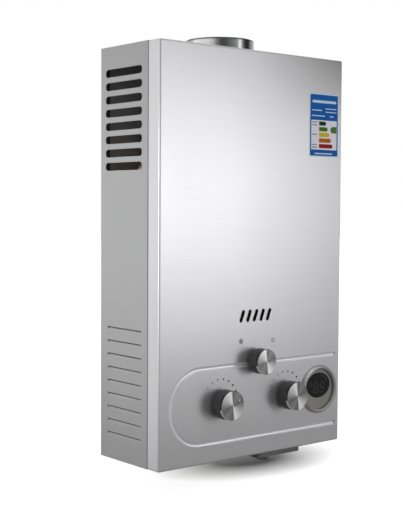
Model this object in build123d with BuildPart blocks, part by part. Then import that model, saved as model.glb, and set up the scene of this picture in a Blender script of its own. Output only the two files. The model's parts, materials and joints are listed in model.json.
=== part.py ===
"""Tankless gas water heater that hangs on a wall.

Millimetres. X runs to the right seen from the front, +Y runs back to the wall and +Z runs up. The origin is the
centre of the four wall-fixing holes, on the wall. Most places are given as a depth behind the front face of the
case and a level above its bottom edge, because that is how the heater is measured on a bench.
"""

import os
from math import cos, radians, sin

from build123d import *

os.makedirs("parts", exist_ok=True)

# Overall sizes
CASE_WIDTH = 300.0
CASE_DEPTH = 118.0
CASE_HEIGHT = 500.0
WALL_STANDOFF = 10.0
KNOB_REACH = 22.0
COLLAR_RISE = 18.0
FITTING_DROP = 33.0

# Sheet metal
SHEET = 0.8
SEAM_GAP = 0.1
JOINT_LINE = 0.6
FLANGE = 12.0
PAN_DEPTH = 22.0
PAN_EDGE_RADIUS = 2.0
PAN_CORNER_RADIUS = 2.2
LAP_CLEARANCE = 2.0
LAP_END_CLEARANCE = 1.0

# Wall rails
RAIL_SHEET = 1.2
RAIL_END = 35.0
RAIL_CROWN = 28.0
RAIL_FLANGE = 12.0
FIXING_SPACING_X = 160.0
FIXING_END = 35.0
FIXING_RADIUS = 3.5
DRIVER_ACCESS_RADIUS = 8.0
KEYHOLE_ENTRY_RADIUS = 5.5
KEYHOLE_SLOT_RADIUS = 2.8
KEYHOLE_RISE = 9.0

# Side vents
VENT_COUNT = 7
VENT_PITCH = 16.0
VENT_LENGTH = 72.8
VENT_HEIGHT = 8.2
VENT_MID_DEPTH = 71.4
VENT_MID_DROP = 79.3
LOUVRE_COUNT = 9
LOUVRE_PITCH = 16.13
LOUVRE_LENGTH = 68.5
LOUVRE_HEIGHT = 4.4
LOUVRE_PRESS = 2.4
LOUVRE_MID_DEPTH = 69.0
LOUVRE_MID_LEVEL = 95.4

# Front cover pressings
BEAD_WIDTH = 6.5
BEAD_PRESS = 1.8
BEAD_LEVEL = 69.6
BEAD_ARC_RADIUS = 45.5
BEAD_ARC_INSET = 63.0
BEAD_END_INSET = 10.0
SIGHT_COUNT = 5
SIGHT_PITCH = 11.0
SIGHT_LEVEL = 174.8
SIGHT_LENGTH = 16.0
SIGHT_WIDTH = 5.5
SIGHT_PRESS = 2.4
SIGHT_LEAN = 21.0
SIGHT_BLADE_SHARE = 0.6

# Controls
GAS_KNOB_X = -55.0
WATER_KNOB_X = 53.0
KNOB_LEVEL = 71.0
SEASON_KNOB_X = 0.0
SEASON_KNOB_LEVEL = 119.0
FLOW_KNOB_RADIUS = 18.0
SEASON_KNOB_RADIUS = 15.7
KNOB_GAP = 2.5
KNOB_FOOT_HEIGHT = 5.0
KNOB_FOOT_INSET = 1.8
KNOB_FOOT_SLOPE = 1.0
KNOB_BODY_FLARE = 0.3
KNOB_CAP_THICKNESS = 4.5
KNOB_CAP_CHAMFER = 0.6
KNOB_HOLE_RADIUS = 10.0
POINTER_RADIUS = 1.1
POINTER_DEPTH = 0.4
GAS_POINTER_ANGLE = 28.0
WATER_POINTER_ANGLE = 152.0
SEASON_POINTER_ANGLE = 135.0
GAS_POINTER_PLACE = 12.3
WATER_POINTER_PLACE = 10.8
SEASON_POINTER_PLACE = 10.6
SPINDLE_RADIUS = 4.0
SPINDLE_FLAT = 2.6
SPINDLE_FLAT_RUNOUT = 1.0
SPINDLE_TIP_GAP = 1.5
SPINDLE_HEAD_WALL = 3.0
SPINDLE_INSERTION = 10.0
RUNNING_CLEARANCE = 0.08
DISPLAY_X = 111.3
DISPLAY_LEVEL = 71.7
DISPLAY_RADIUS = 31.2
DISPLAY_RIM = 4.6
DISPLAY_PLATE_RADIUS = 26.0
DISPLAY_HOUSING_RADIUS = 28.4
DISPLAY_HOUSING_DEPTH = 14.0
DISPLAY_WALL = 1.5
WINDOW_HALF_WIDTH = 21.2
WINDOW_HALF_HEIGHT = 16.3
WINDOW_RAISE = 5.0
WINDOW_THICKNESS = 1.2

# Flue
FLUE_DEPTH = 72.0
COLLAR_RADIUS = 43.5
COLLAR_LIP = 0.9
COLLAR_FLANGE = 9.0
COLLAR_TRIM_DEPTH = 117.0
HOOD_GAP = 0.3
HOOD_SKIRT_DROP = 6.0
HOOD_SHOULDER_RISE = 8.0
HOOD_NECK_DROP = 32.0
HOOD_SPIGOT = 8.0
HOOD_REAR_DEPTH = 112.0

# Heat exchanger and burner
SHELL_WIDTH = 190.0
SHELL_DEPTH = 76.0
SHELL_FRONT = 26.0
SHELL_BOTTOM = 168.0
SHELL_TOP = 392.0
FIN_COUNT = 18
FIN_THICKNESS = 0.8
FIN_HEIGHT = 49.0
FIN_SPAN = 178.0
FIN_TUBE_RADIUS = 6.5
FIN_TUBE_COUNT = 4
FIN_TUBE_MARGIN = 2.2
FIN_TUBE_LEVEL = 362.0
HEADER_THICKNESS = 7.0
HEADER_GAP = 2.0
TRAY_BOTTOM = 126.0
TRAY_INSET = 5.0
TRAY_SIDE_INSET = 1.0
BAR_COUNT = 8
BAR_WIDTH = 12.0
BAR_PITCH = 22.0
BAR_HEIGHT = 36.0
PORT_COUNT = 12
PORT_WIDTH = 1.6
PORT_WALL = 1.8
PORT_DROP = 5.0
MOUTH_RADIUS = 4.5
MOUTH_LENGTH = 24.0
MOUTH_TAPER = 5.0
MANIFOLD_SIZE = 12.0
MANIFOLD_DEPTH = 22.0
MANIFOLD_LEVEL = 137.0
JET_ACROSS_FLATS = 7.0
JET_LENGTH = 6.0
JET_GAP = 3.0
JET_CLEARANCE = 1.5
BRACKET_SHEET = 1.0
BRACKET_FOOT = 15.0
BRACKET_X = 45.0
BRACKET_LEVEL = 300.0
BRACKET_HEIGHT = 20.0
OVERHEAT_LEVEL = 320.0
OVERHEAT_RADIUS = 8.0
OVERHEAT_FLANGE = 3.0
OVERHEAT_CAP_RADIUS = 6.0
OVERHEAT_CAP_HEIGHT = 5.0

# Water and gas valve
VALVE_DEPTH = 88.0
VALVE_LEVEL = 71.0
VALVE_BARREL_RADIUS = 15.0
VALVE_BOSS_RADIUS = 8.0
VALVE_BOSS_DEPTH = 64.0
VALVE_BORE_RADIUS = 11.0
SOCKET_WALL = 1.5
SOCKET_DROP = 6.0
SEAT_THICKNESS = 2.0
GAS_VALVE_LEFT = -85.0
GAS_VALVE_RIGHT = -12.0
GAS_END_WALL = 7.0
GAS_OUTLET_X = -30.0
GAS_FLANGE_RADIUS = 20.0
GAS_FLANGE_THICKNESS = 5.0
COVER_LEFT = -4.0
COVER_RIGHT = 8.0
COVER_NECK = 5.0
DIAPHRAGM_THICKNESS = 1.0
CHAMBER_RADIUS = 24.0
DISH_RADIUS = 18.0
DISH_DEPTH = 5.5
WATER_VALVE_RIGHT = 80.0
WATER_FLANGE_THICKNESS = 7.0
RISER_START_X = 68.0
ROD_RADIUS = 2.5
ROD_COLLAR_RADIUS = 4.5
ROD_COLLAR_LEFT = -7.0
ROD_COLLAR_WIDTH = 1.5
PLATE_RADIUS = 15.0
PLATE_THICKNESS = 1.6
DISC_RADIUS = 9.0
DISC_THICKNESS = 3.0
DISC_LEFT = -60.0
SPRING_RADIUS = 6.0
SPRING_WIRE = 1.2
SPRING_TURNS = 4
TIE_CIRCLE_RADIUS = 16.0
TIE_COUNT = 3
SOLENOID_RADIUS = 11.0
SOLENOID_LENGTH = 22.0
PLUNGER_RADIUS = 3.5
PLUNGER_STROKE = 2.5
PLUNGER_END_GAP = 1.0
SOLENOID_END_WALL = 3.0
SWITCH_LENGTH = 20.0
SWITCH_WIDTH = 7.0
SWITCH_HEIGHT = 10.0
SWITCH_CORNER = 1.0
SWITCH_OVERHANG = 1.0
LEVER_SHEET = 0.8
LEVER_INSET = 1.0
LEVER_CLEARANCE = 0.6
SEASON_COCK_FRONT = 14.0
SEASON_COCK_BACK = 29.5
SEASON_COCK_RADIUS = 11.0
SEASON_BOSS = 5.0
SEASON_SPINDLE_REACH = 9.0
SEASON_INLET_DROP = 4.0
SEASON_INLET_RADIUS = 7.0
SEASON_NECK_DEPTH = 10.0

# Pipes and fittings
THREAD_RADIUS = 10.48
THREAD_BORE = 7.5
THREAD_CHAMFER = 1.0
NIPPLE_SEAT = 6.0
NIPPLE_TAPER = 2.0
HEX_ACROSS_FLATS = 27.0
HEX_THICKNESS = 7.0
FITTING_CLEARANCE = 0.3
NIPPLE_DROP = 23.0
HOT_X = -12.0
HOT_PIPE_X = -122.0
HOT_PIPE_LEVEL = 28.0
HOT_NIPPLE_TOP = 12.0
GAS_INLET_X = -70.0
PIPE_RADIUS = 5.0
PIPE_WALL = 0.8
PIPE_BEND = 10.0
GAS_PIPE_RUN = 18.0
COIL_LEVEL = 230.0
COIL_GAP = 1.5
COIL_SIDE_GAP = 8.0
RISER_RUN_RISE = 14.0
RISER_X = 113.0
DRAIN_X = 95.0
DRAIN_RADIUS = 8.0
DRAIN_KNOB_RADIUS = 9.0
DRAIN_KNOB_HEIGHT = 14.0
SCALLOP_COUNT = 6
SCALLOP_RADIUS = 2.4
SCALLOP_REACH = 1.2

# Battery group
BATTERY_LEFT = 28.0
BATTERY_FRONT = 23.6
BATTERY_BOTTOM = -10.3
BATTERY_WALL = 1.6
BATTERY_CORNER = 5.0
DOOR_THICKNESS = 2.0
DOOR_GAP = 0.2
DOOR_PIN_RADIUS = 1.0
DOOR_KNUCKLE_RADIUS = 2.0
KNUCKLE_HALF = 12.0
LUG_WIDTH = 6.0
CELL_RADIUS = 16.6
CELL_HEIGHT = 58.0
CELL_TIP_HEIGHT = 2.5
CELL_LIFT = 2.0
CELL_GAP = 1.8
CELL_SIDE_GAP = 1.1
CONTACT_HEIGHT = 4.0

# Ignition
IGNITER_WIDTH = 30.0
IGNITER_DEPTH = 42.0
IGNITER_HEIGHT = 45.0
IGNITER_MID_DEPTH = 52.0
IGNITER_FOOT = 170.0
IGNITER_CORNER = 3.0
IGNITER_STEP = 2.0
IGNITION_RISE = 7.0
CERAMIC_RADIUS = 3.0
CERAMIC_REACH = 6.0
CERAMIC_LENGTH = 14.0
SPARK_ROD_RADIUS = 1.2
SPARK_ROD_LENGTH = 34.0
SPARK_ROD_INSET = 6.0

# Places that several pieces share
front_y = -(WALL_STANDOFF + CASE_DEPTH)
rear_plate_depth = CASE_DEPTH - SHEET
body_start = PAN_DEPTH + JOINT_LINE
lap_end = PAN_CORNER_RADIUS + LAP_END_CLEARANCE
fixing_spacing_z = CASE_HEIGHT - 2 * FIXING_END
shell_mid_depth = SHELL_FRONT + SHELL_DEPTH / 2
header_face = SHELL_WIDTH / 2 + SEAM_GAP
fin_tube_pitch = (SHELL_DEPTH - 2 * (SHEET + FIN_TUBE_MARGIN + FIN_TUBE_RADIUS)) / (FIN_TUBE_COUNT - 1)
tray_front = SHELL_FRONT + TRAY_INSET
tray_depth = SHELL_DEPTH - TRAY_INSET
tray_width = SHELL_WIDTH - 2 * TRAY_SIDE_INSET
ignition_level = SHELL_BOTTOM + IGNITION_RISE
electrode_places = (-2.5 * BAR_PITCH, 2.5 * BAR_PITCH)
seat_x = DISC_LEFT + DISC_THICKNESS + SEAM_GAP
pipe_bore = PIPE_RADIUS - PIPE_WALL
season_tip = SEASON_COCK_FRONT + SEASON_SPINDLE_REACH
cock_inlet_level = SEASON_KNOB_LEVEL - SEASON_COCK_RADIUS - SEASON_INLET_DROP
drain_face_level = DRAIN_KNOB_HEIGHT + FITTING_CLEARANCE - FITTING_DROP
battery_width = 4 * CELL_RADIUS + 3 * CELL_GAP + 2 * BATTERY_WALL
battery_depth = 2 * (CELL_RADIUS + CELL_SIDE_GAP + BATTERY_WALL)
battery_mid_x = BATTERY_LEFT + battery_width / 2
battery_mid_depth = BATTERY_FRONT + battery_depth / 2
cell_foot = BATTERY_BOTTOM + CELL_LIFT
contact_level = cell_foot + CELL_HEIGHT + CELL_TIP_HEIGHT + SEAM_GAP
battery_top = contact_level + CONTACT_HEIGHT + SEAM_GAP + BATTERY_WALL
door_pin_depth = BATTERY_FRONT + battery_depth + DOOR_KNUCKLE_RADIUS
door_pin_level = BATTERY_BOTTOM - DOOR_GAP - DOOR_THICKNESS / 2
lug_places = (battery_mid_x - KNUCKLE_HALF - LUG_WIDTH - DOOR_GAP, battery_mid_x + KNUCKLE_HALF + DOOR_GAP)


def at_depth(depth):
    """Y of a place so far behind the front face."""
    return front_y + depth


def at_level(level):
    """Z of a place so far above the bottom edge of the case."""
    return level - CASE_HEIGHT / 2


def spot(x, depth, level):
    """A point from its x, depth and level."""
    return (x, at_depth(depth), at_level(level))


def facing(x, depth, level):
    """Sketch plane that looks out of the front: local x is X and local y is Z."""
    return Plane(origin=spot(x, depth, level), x_dir=(1, 0, 0), z_dir=(0, -1, 0))


def rising(x, depth, level):
    """Sketch plane that looks up: local x is X and local y is Y."""
    return Plane(origin=spot(x, depth, level), x_dir=(1, 0, 0), z_dir=(0, 0, 1))


def across(x, depth, level):
    """Sketch plane that looks to the right: local x is Y and local y is Z."""
    return Plane(origin=spot(x, depth, level), x_dir=(0, 1, 0), z_dir=(1, 0, 0))


def outward(x, level):
    """Plane for shapes turned about a control's axis: local x is radius and local y is reach from the front."""
    return Plane(origin=spot(x, 0, level), x_dir=(1, 0, 0), z_dir=(0, 0, -1))


def keep(piece, label):
    """Name a finished piece and write it."""
    piece.part.label = label
    export_step(piece.part, "parts/" + label + ".step")


# Front cover: a pressed steel pan with a bead, five sight slots and holes for the controls
bead_round = (BEAD_WIDTH**2 / 4 + BEAD_PRESS**2) / (2 * BEAD_PRESS)
bead_centre_depth = BEAD_PRESS - bead_round
bead_arc_x = BEAD_ARC_INSET - CASE_WIDTH / 2
bead_end_x = CASE_WIDTH / 2 - BEAD_END_INSET


def bead_rope(radius):
    """Round rope with ball ends along the open stadium line that the bead follows."""
    start = spot(bead_end_x, bead_centre_depth, BEAD_LEVEL + BEAD_ARC_RADIUS)
    turn = spot(bead_arc_x, bead_centre_depth, BEAD_LEVEL + BEAD_ARC_RADIUS)
    left = spot(bead_arc_x - BEAD_ARC_RADIUS, bead_centre_depth, BEAD_LEVEL)
    back = spot(bead_arc_x, bead_centre_depth, BEAD_LEVEL - BEAD_ARC_RADIUS)
    end = spot(bead_end_x, bead_centre_depth, BEAD_LEVEL - BEAD_ARC_RADIUS)
    with BuildPart() as rope:
        with BuildLine() as line:
            Line(start, turn)
            ThreePointArc(turn, left, back)
            Line(back, end)
        with BuildSketch(Plane(origin=start, x_dir=(0, 1, 0), z_dir=(1, 0, 0))):
            Circle(radius)
        sweep(path=line.line)
        with Locations(start, end):
            Sphere(radius)
    return rope.part


bead_back = bead_rope(bead_round + SHEET)
bead_groove = bead_rope(bead_round)

with BuildPart() as sight_blade:
    with BuildSketch(Plane.XY):
        with BuildLine():
            Polyline(
                (-SIGHT_WIDTH / 2 - SHEET, 0),
                (-SIGHT_WIDTH / 2 - SHEET, SHEET),
                (SIGHT_WIDTH * (SIGHT_BLADE_SHARE - 0.5), SIGHT_PRESS + SHEET),
                (SIGHT_WIDTH * (SIGHT_BLADE_SHARE - 0.5), SIGHT_PRESS),
                (-SIGHT_WIDTH / 2, 0),
                close=True,
            )
        make_face()
    extrude(amount=SIGHT_LENGTH / 2, both=True)

with BuildPart() as front_cover:
    with BuildSketch(facing(0, 0, CASE_HEIGHT / 2)):
        RectangleRounded(CASE_WIDTH, CASE_HEIGHT, PAN_CORNER_RADIUS)
    extrude(amount=-PAN_DEPTH)
    fillet(front_cover.faces().sort_by(Axis.Y)[0].edges(), PAN_EDGE_RADIUS)
    offset(amount=-SHEET, openings=front_cover.faces().sort_by(Axis.Y)[-1])
    add(bead_back)
    split(bisect_by=facing(0, 0, 0), keep=Keep.BOTTOM)
    add(bead_groove, mode=Mode.SUBTRACT)
    with BuildSketch(facing(0, 0, SIGHT_LEVEL)):
        with GridLocations(SIGHT_PITCH, 1, SIGHT_COUNT, 1):
            SlotOverall(SIGHT_LENGTH, SIGHT_WIDTH, rotation=90 - SIGHT_LEAN)
    extrude(amount=-2 * SHEET, mode=Mode.SUBTRACT)
    sight_start = -SIGHT_PITCH * (SIGHT_COUNT - 1) / 2
    sight_places = [
        Location(spot(sight_start + i * SIGHT_PITCH, 0, SIGHT_LEVEL), (0, SIGHT_LEAN, 0))
        for i in range(SIGHT_COUNT)
    ]
    with Locations(*sight_places):
        add(sight_blade.part)
    with BuildSketch(facing(0, 0, 0)):
        with Locations(
            (GAS_KNOB_X, KNOB_LEVEL),
            (WATER_KNOB_X, KNOB_LEVEL),
            (SEASON_KNOB_X, SEASON_KNOB_LEVEL),
        ):
            Circle(KNOB_HOLE_RADIUS)
        with Locations((DISPLAY_X, DISPLAY_LEVEL)):
            Circle(DISPLAY_HOUSING_RADIUS + FITTING_CLEARANCE)
    extrude(amount=-BEAD_WIDTH, mode=Mode.SUBTRACT)
keep(front_cover, "front_cover")

# Side panels: joggled behind the pan, slotted high up and louvred low down
inner_face = CASE_WIDTH / 2 - SHEET - SEAM_GAP
lap = PAN_DEPTH - FLANGE + LAP_CLEARANCE

with BuildPart() as louvre_blade:
    with BuildSketch(Plane.XZ):
        with BuildLine():
            Polyline(
                (0, -LOUVRE_HEIGHT / 2 - SHEET / 2),
                (SHEET, -LOUVRE_HEIGHT / 2 - SHEET / 2),
                (LOUVRE_PRESS + SHEET, LOUVRE_HEIGHT / 2),
                (LOUVRE_PRESS, LOUVRE_HEIGHT / 2),
                (0, -LOUVRE_HEIGHT / 2),
                close=True,
            )
        make_face()
    extrude(amount=LOUVRE_LENGTH / 2 + SHEET, both=True)
    with BuildSketch(Plane.XZ.offset(LOUVRE_LENGTH / 2), Plane.XZ.offset(-LOUVRE_LENGTH / 2 - SHEET)):
        with BuildLine():
            Polyline(
                (SHEET / 2, -LOUVRE_HEIGHT / 2),
                (LOUVRE_PRESS + SHEET / 2, LOUVRE_HEIGHT / 2),
                (SHEET / 2, LOUVRE_HEIGHT / 2),
                close=True,
            )
        make_face()
    extrude(amount=SHEET)

with BuildPart() as left_side_panel:
    with BuildSketch(rising(0, 0, 0)):
        with BuildLine():
            Polyline(
                (-inner_face, lap),
                (-inner_face, body_start),
                (-CASE_WIDTH / 2, body_start),
                (-CASE_WIDTH / 2, rear_plate_depth - SEAM_GAP),
                (-CASE_WIDTH / 2 + FLANGE, rear_plate_depth - SEAM_GAP),
            )
            offset(amount=SHEET, side=Side.RIGHT, kind=Kind.INTERSECTION)
        make_face()
    extrude(amount=CASE_HEIGHT)
    with BuildSketch(across(-CASE_WIDTH / 2, VENT_MID_DEPTH, CASE_HEIGHT - VENT_MID_DROP)):
        with GridLocations(1, VENT_PITCH, 1, VENT_COUNT):
            SlotOverall(VENT_LENGTH, VENT_HEIGHT)
    extrude(amount=2 * SHEET, mode=Mode.SUBTRACT)
    with BuildSketch(across(-CASE_WIDTH / 2, LOUVRE_MID_DEPTH, LOUVRE_MID_LEVEL)):
        with GridLocations(1, LOUVRE_PITCH, 1, LOUVRE_COUNT):
            Rectangle(LOUVRE_LENGTH, LOUVRE_HEIGHT)
    extrude(amount=2 * SHEET, mode=Mode.SUBTRACT)
    louvre_foot = LOUVRE_MID_LEVEL - LOUVRE_PITCH * (LOUVRE_COUNT - 1) / 2
    louvre_places = [
        spot(-CASE_WIDTH / 2, LOUVRE_MID_DEPTH, louvre_foot + i * LOUVRE_PITCH) for i in range(LOUVRE_COUNT)
    ]
    with Locations(*louvre_places):
        add(louvre_blade.part)
    with BuildSketch(across(-CASE_WIDTH / 2, (lap + body_start) / 2, CASE_HEIGHT / 2)):
        with GridLocations(1, CASE_HEIGHT - lap_end, 1, 2):
            Rectangle(body_start - lap, lap_end)
    extrude(amount=FLANGE, mode=Mode.SUBTRACT)
keep(left_side_panel, "left_side_panel")

with BuildPart() as right_side_panel:
    mirror(left_side_panel.part, about=Plane.YZ)
keep(right_side_panel, "right_side_panel")

# Back panel and the two hat-section rails that stand it off the wall
with BuildPart() as back_panel:
    with BuildSketch(facing(0, rear_plate_depth, CASE_HEIGHT / 2)):
        Rectangle(CASE_WIDTH, CASE_HEIGHT)
        with GridLocations(FIXING_SPACING_X, fixing_spacing_z, 2, 2):
            Circle(DRIVER_ACCESS_RADIUS, mode=Mode.SUBTRACT)
        with Locations((0, fixing_spacing_z / 2)):
            SlotOverall(
                RAIL_CROWN - 2 * RAIL_SHEET, 2 * DRIVER_ACCESS_RADIUS, rotation=90, mode=Mode.SUBTRACT
            )
    extrude(amount=-SHEET)
keep(back_panel, "back_panel")

with BuildPart() as wall_rails:
    for rail_level in (-fixing_spacing_z / 2, fixing_spacing_z / 2):
        rail_half = RAIL_CROWN / 2
        rail_foot_y = -WALL_STANDOFF + RAIL_SHEET
        with BuildSketch(Plane(origin=(0, 0, rail_level), x_dir=(0, 1, 0), z_dir=(1, 0, 0))):
            with BuildLine():
                Polyline(
                    (rail_foot_y, -rail_half - RAIL_FLANGE),
                    (rail_foot_y, -rail_half),
                    (0, -rail_half),
                    (0, rail_half),
                    (rail_foot_y, rail_half),
                    (rail_foot_y, rail_half + RAIL_FLANGE),
                )
                offset(amount=RAIL_SHEET, side=Side.LEFT, kind=Kind.INTERSECTION)
            make_face()
        extrude(amount=FIXING_SPACING_X / 2 + RAIL_END, both=True)
    with BuildSketch(Plane.XZ):
        with GridLocations(FIXING_SPACING_X, fixing_spacing_z, 2, 2):
            Circle(FIXING_RADIUS)
        with Locations((0, fixing_spacing_z / 2 - KEYHOLE_RISE / 2)):
            Circle(KEYHOLE_ENTRY_RADIUS)
        with Locations((0, fixing_spacing_z / 2)):
            SlotCenterToCenter(KEYHOLE_RISE, 2 * KEYHOLE_SLOT_RADIUS, rotation=90)
    extrude(amount=2 * RAIL_SHEET, both=True, mode=Mode.SUBTRACT)
keep(wall_rails, "wall_rails")

# Top and bottom panels share one flanged blank
end_depth = rear_plate_depth - SHEET - 2 * SEAM_GAP
with BuildPart() as end_blank:
    with BuildSketch(facing(0, body_start + SHEET, CASE_HEIGHT)):
        with BuildLine():
            Polyline((-inner_face, -FLANGE), (-inner_face, 0), (inner_face, 0), (inner_face, -FLANGE))
            offset(amount=SHEET, side=Side.RIGHT, kind=Kind.INTERSECTION)
        make_face()
    extrude(amount=-(end_depth - body_start - SHEET))
    with BuildSketch(across(0, 0, CASE_HEIGHT)):
        with BuildLine():
            Polyline(
                (lap, -SHEET - SEAM_GAP),
                (body_start, -SHEET - SEAM_GAP),
                (body_start, 0),
                (body_start + 2 * SHEET, 0),
            )
            offset(amount=SHEET, side=Side.RIGHT, kind=Kind.INTERSECTION)
        make_face()
    extrude(amount=CASE_WIDTH / 2 - lap_end, both=True)

flue_bore = COLLAR_RADIUS - SHEET
neck_radius = flue_bore - HOOD_GAP
with BuildPart() as top_panel:
    add(end_blank.part)
    with BuildSketch(rising(0, FLUE_DEPTH, CASE_HEIGHT)):
        Circle(neck_radius + FITTING_CLEARANCE)
    extrude(amount=-2 * SHEET, mode=Mode.SUBTRACT)
keep(top_panel, "top_panel")

with BuildPart() as bottom_panel:
    mirror(end_blank.part, about=Plane.XY)
    with BuildSketch(rising(0, VALVE_DEPTH, 0)):
        with Locations((HOT_X, 0), (GAS_INLET_X, 0), (WATER_KNOB_X, 0)):
            Circle(THREAD_RADIUS + FITTING_CLEARANCE)
        with Locations((DRAIN_X, 0)):
            Circle(DRAIN_RADIUS + FITTING_CLEARANCE)
    extrude(amount=2 * SHEET, mode=Mode.SUBTRACT)
    with BuildSketch(rising(battery_mid_x, battery_mid_depth, 0)):
        RectangleRounded(
            battery_width + 2 * FITTING_CLEARANCE,
            battery_depth + 2 * FITTING_CLEARANCE,
            BATTERY_CORNER + FITTING_CLEARANCE,
        )
    extrude(amount=3 * SHEET, mode=Mode.SUBTRACT)
keep(bottom_panel, "bottom_panel")

# Flue: a flanged collar with a rolled lip, over the neck of the draft hood
flange_level = CASE_HEIGHT + SEAM_GAP
collar_top = CASE_HEIGHT + COLLAR_RISE
with BuildPart() as flue_collar:
    with BuildSketch(facing(0, FLUE_DEPTH, 0)):
        with BuildLine():
            Polyline(
                (flue_bore, flange_level),
                (COLLAR_RADIUS + COLLAR_FLANGE, flange_level),
                (COLLAR_RADIUS + COLLAR_FLANGE, flange_level + SHEET),
                (COLLAR_RADIUS, flange_level + SHEET),
                (COLLAR_RADIUS, collar_top - COLLAR_LIP),
                (COLLAR_RADIUS - COLLAR_LIP / 2, collar_top),
                (flue_bore - COLLAR_LIP, collar_top),
                (flue_bore - 2 * COLLAR_LIP, collar_top - COLLAR_LIP),
                (flue_bore, collar_top - 2 * COLLAR_LIP),
                close=True,
            )
        make_face()
    revolve(axis=Axis(spot(0, FLUE_DEPTH, 0), (0, 0, 1)))
    split(bisect_by=facing(0, COLLAR_TRIM_DEPTH, 0), keep=Keep.TOP)
keep(flue_collar, "flue_collar")

hood_front = SHELL_FRONT - HOOD_GAP - SHEET
hood_width = SHELL_WIDTH + 2 * (HOOD_GAP + SHEET)
hood_mid_depth = (hood_front + HOOD_REAR_DEPTH) / 2
hood_run = HOOD_REAR_DEPTH - hood_front
hood_skirt_level = SHELL_TOP - HOOD_SKIRT_DROP
hood_shoulder_level = SHELL_TOP + HOOD_SHOULDER_RISE
hood_neck_level = CASE_HEIGHT - HOOD_NECK_DROP
with BuildPart() as draft_hood:
    for wall, mode in ((0, Mode.ADD), (SHEET, Mode.SUBTRACT)):
        with BuildSketch(rising(0, hood_mid_depth, hood_skirt_level)):
            Rectangle(hood_width - 2 * wall, hood_run - 2 * wall)
        extrude(amount=hood_shoulder_level - hood_skirt_level, mode=mode)
        with BuildSketch(rising(0, hood_mid_depth, hood_shoulder_level)):
            Rectangle(hood_width - 2 * wall, hood_run - 2 * wall)
        with BuildSketch(rising(0, FLUE_DEPTH, hood_neck_level)):
            Circle(neck_radius - wall)
        loft(mode=mode)
        with BuildSketch(rising(0, FLUE_DEPTH, hood_neck_level)):
            Circle(neck_radius - wall)
        extrude(amount=HOOD_NECK_DROP + HOOD_SPIGOT, mode=mode)
keep(draft_hood, "draft_hood")

# Heat exchanger: shell, fins on a row of tubes, and the headers that join the tubes
with BuildPart() as exchanger_shell:
    with BuildSketch(rising(0, shell_mid_depth, SHELL_BOTTOM)):
        Rectangle(SHELL_WIDTH, SHELL_DEPTH)
        Rectangle(SHELL_WIDTH - 2 * SHEET, SHELL_DEPTH - 2 * SHEET, mode=Mode.SUBTRACT)
    extrude(amount=SHELL_TOP - SHELL_BOTTOM)
    with BuildSketch(facing(0, SHELL_FRONT, SIGHT_LEVEL + SIGHT_WIDTH)):
        SlotOverall(SIGHT_PITCH * SIGHT_COUNT, SIGHT_LENGTH)
    extrude(amount=-2 * SHEET, mode=Mode.SUBTRACT)
    with BuildSketch(facing(0, SHELL_FRONT, ignition_level)):
        with Locations(*[(x, 0) for x in electrode_places]):
            Circle(CERAMIC_RADIUS + SEAM_GAP)
    extrude(amount=-2 * SHEET, mode=Mode.SUBTRACT)
keep(exchanger_shell, "exchanger_shell")

fin_run = SHELL_DEPTH - 2 * SHEET - 2 * SEAM_GAP
fin_pitch = FIN_SPAN / (FIN_COUNT - 1)
fin_planes = [across(i * fin_pitch - FIN_SPAN / 2, shell_mid_depth, FIN_TUBE_LEVEL) for i in range(FIN_COUNT)]
with BuildPart() as fin_stack:
    with BuildSketch(*fin_planes):
        Rectangle(fin_run, FIN_HEIGHT)
        with GridLocations(fin_tube_pitch, 1, FIN_TUBE_COUNT, 1):
            Circle(FIN_TUBE_RADIUS + SEAM_GAP, mode=Mode.SUBTRACT)
    extrude(amount=FIN_THICKNESS / 2, both=True)
keep(fin_stack, "fin_stack")

tube_half = SHELL_WIDTH / 2 - SHEET - SEAM_GAP
with BuildPart() as fin_tubes:
    with BuildSketch(across(-tube_half, shell_mid_depth, FIN_TUBE_LEVEL)):
        with GridLocations(fin_tube_pitch, 1, FIN_TUBE_COUNT, 1):
            Circle(FIN_TUBE_RADIUS)
            Circle(FIN_TUBE_RADIUS - PIPE_WALL, mode=Mode.SUBTRACT)
    extrude(amount=2 * tube_half)
keep(fin_tubes, "fin_tubes")

header_wall = (fin_tube_pitch - HEADER_GAP) / 2 - FIN_TUBE_RADIUS
with BuildPart() as return_headers:
    with BuildSketch(across(header_face, shell_mid_depth, FIN_TUBE_LEVEL)):
        with GridLocations(2 * fin_tube_pitch, 1, 2, 1):
            SlotCenterToCenter(fin_tube_pitch, 2 * (FIN_TUBE_RADIUS + header_wall))
    extrude(amount=HEADER_THICKNESS)
    with BuildSketch(across(-header_face, shell_mid_depth, FIN_TUBE_LEVEL)):
        SlotCenterToCenter(fin_tube_pitch, 2 * (FIN_TUBE_RADIUS + header_wall))
    extrude(amount=-HEADER_THICKNESS)
    header_ends = return_headers.faces().filter_by(Axis.X).group_by(Axis.X)
    chamfer(header_ends[0].edges() + header_ends[-1].edges(), header_wall)
keep(return_headers, "return_headers")

with BuildPart() as shell_brackets:
    with BuildSketch(rising(0, 0, BRACKET_LEVEL)):
        with BuildLine():
            Polyline(
                (BRACKET_X, SHELL_FRONT + SHELL_DEPTH + SEAM_GAP),
                (BRACKET_X + BRACKET_FOOT, SHELL_FRONT + SHELL_DEPTH + SEAM_GAP),
                (BRACKET_X + BRACKET_FOOT, rear_plate_depth - SEAM_GAP - BRACKET_SHEET),
                (BRACKET_X + 2 * BRACKET_FOOT, rear_plate_depth - SEAM_GAP - BRACKET_SHEET),
            )
            offset(amount=BRACKET_SHEET, side=Side.LEFT, kind=Kind.INTERSECTION)
        make_face()
    extrude(amount=BRACKET_HEIGHT)
    mirror(about=Plane.YZ)
keep(shell_brackets, "shell_brackets")

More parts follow.
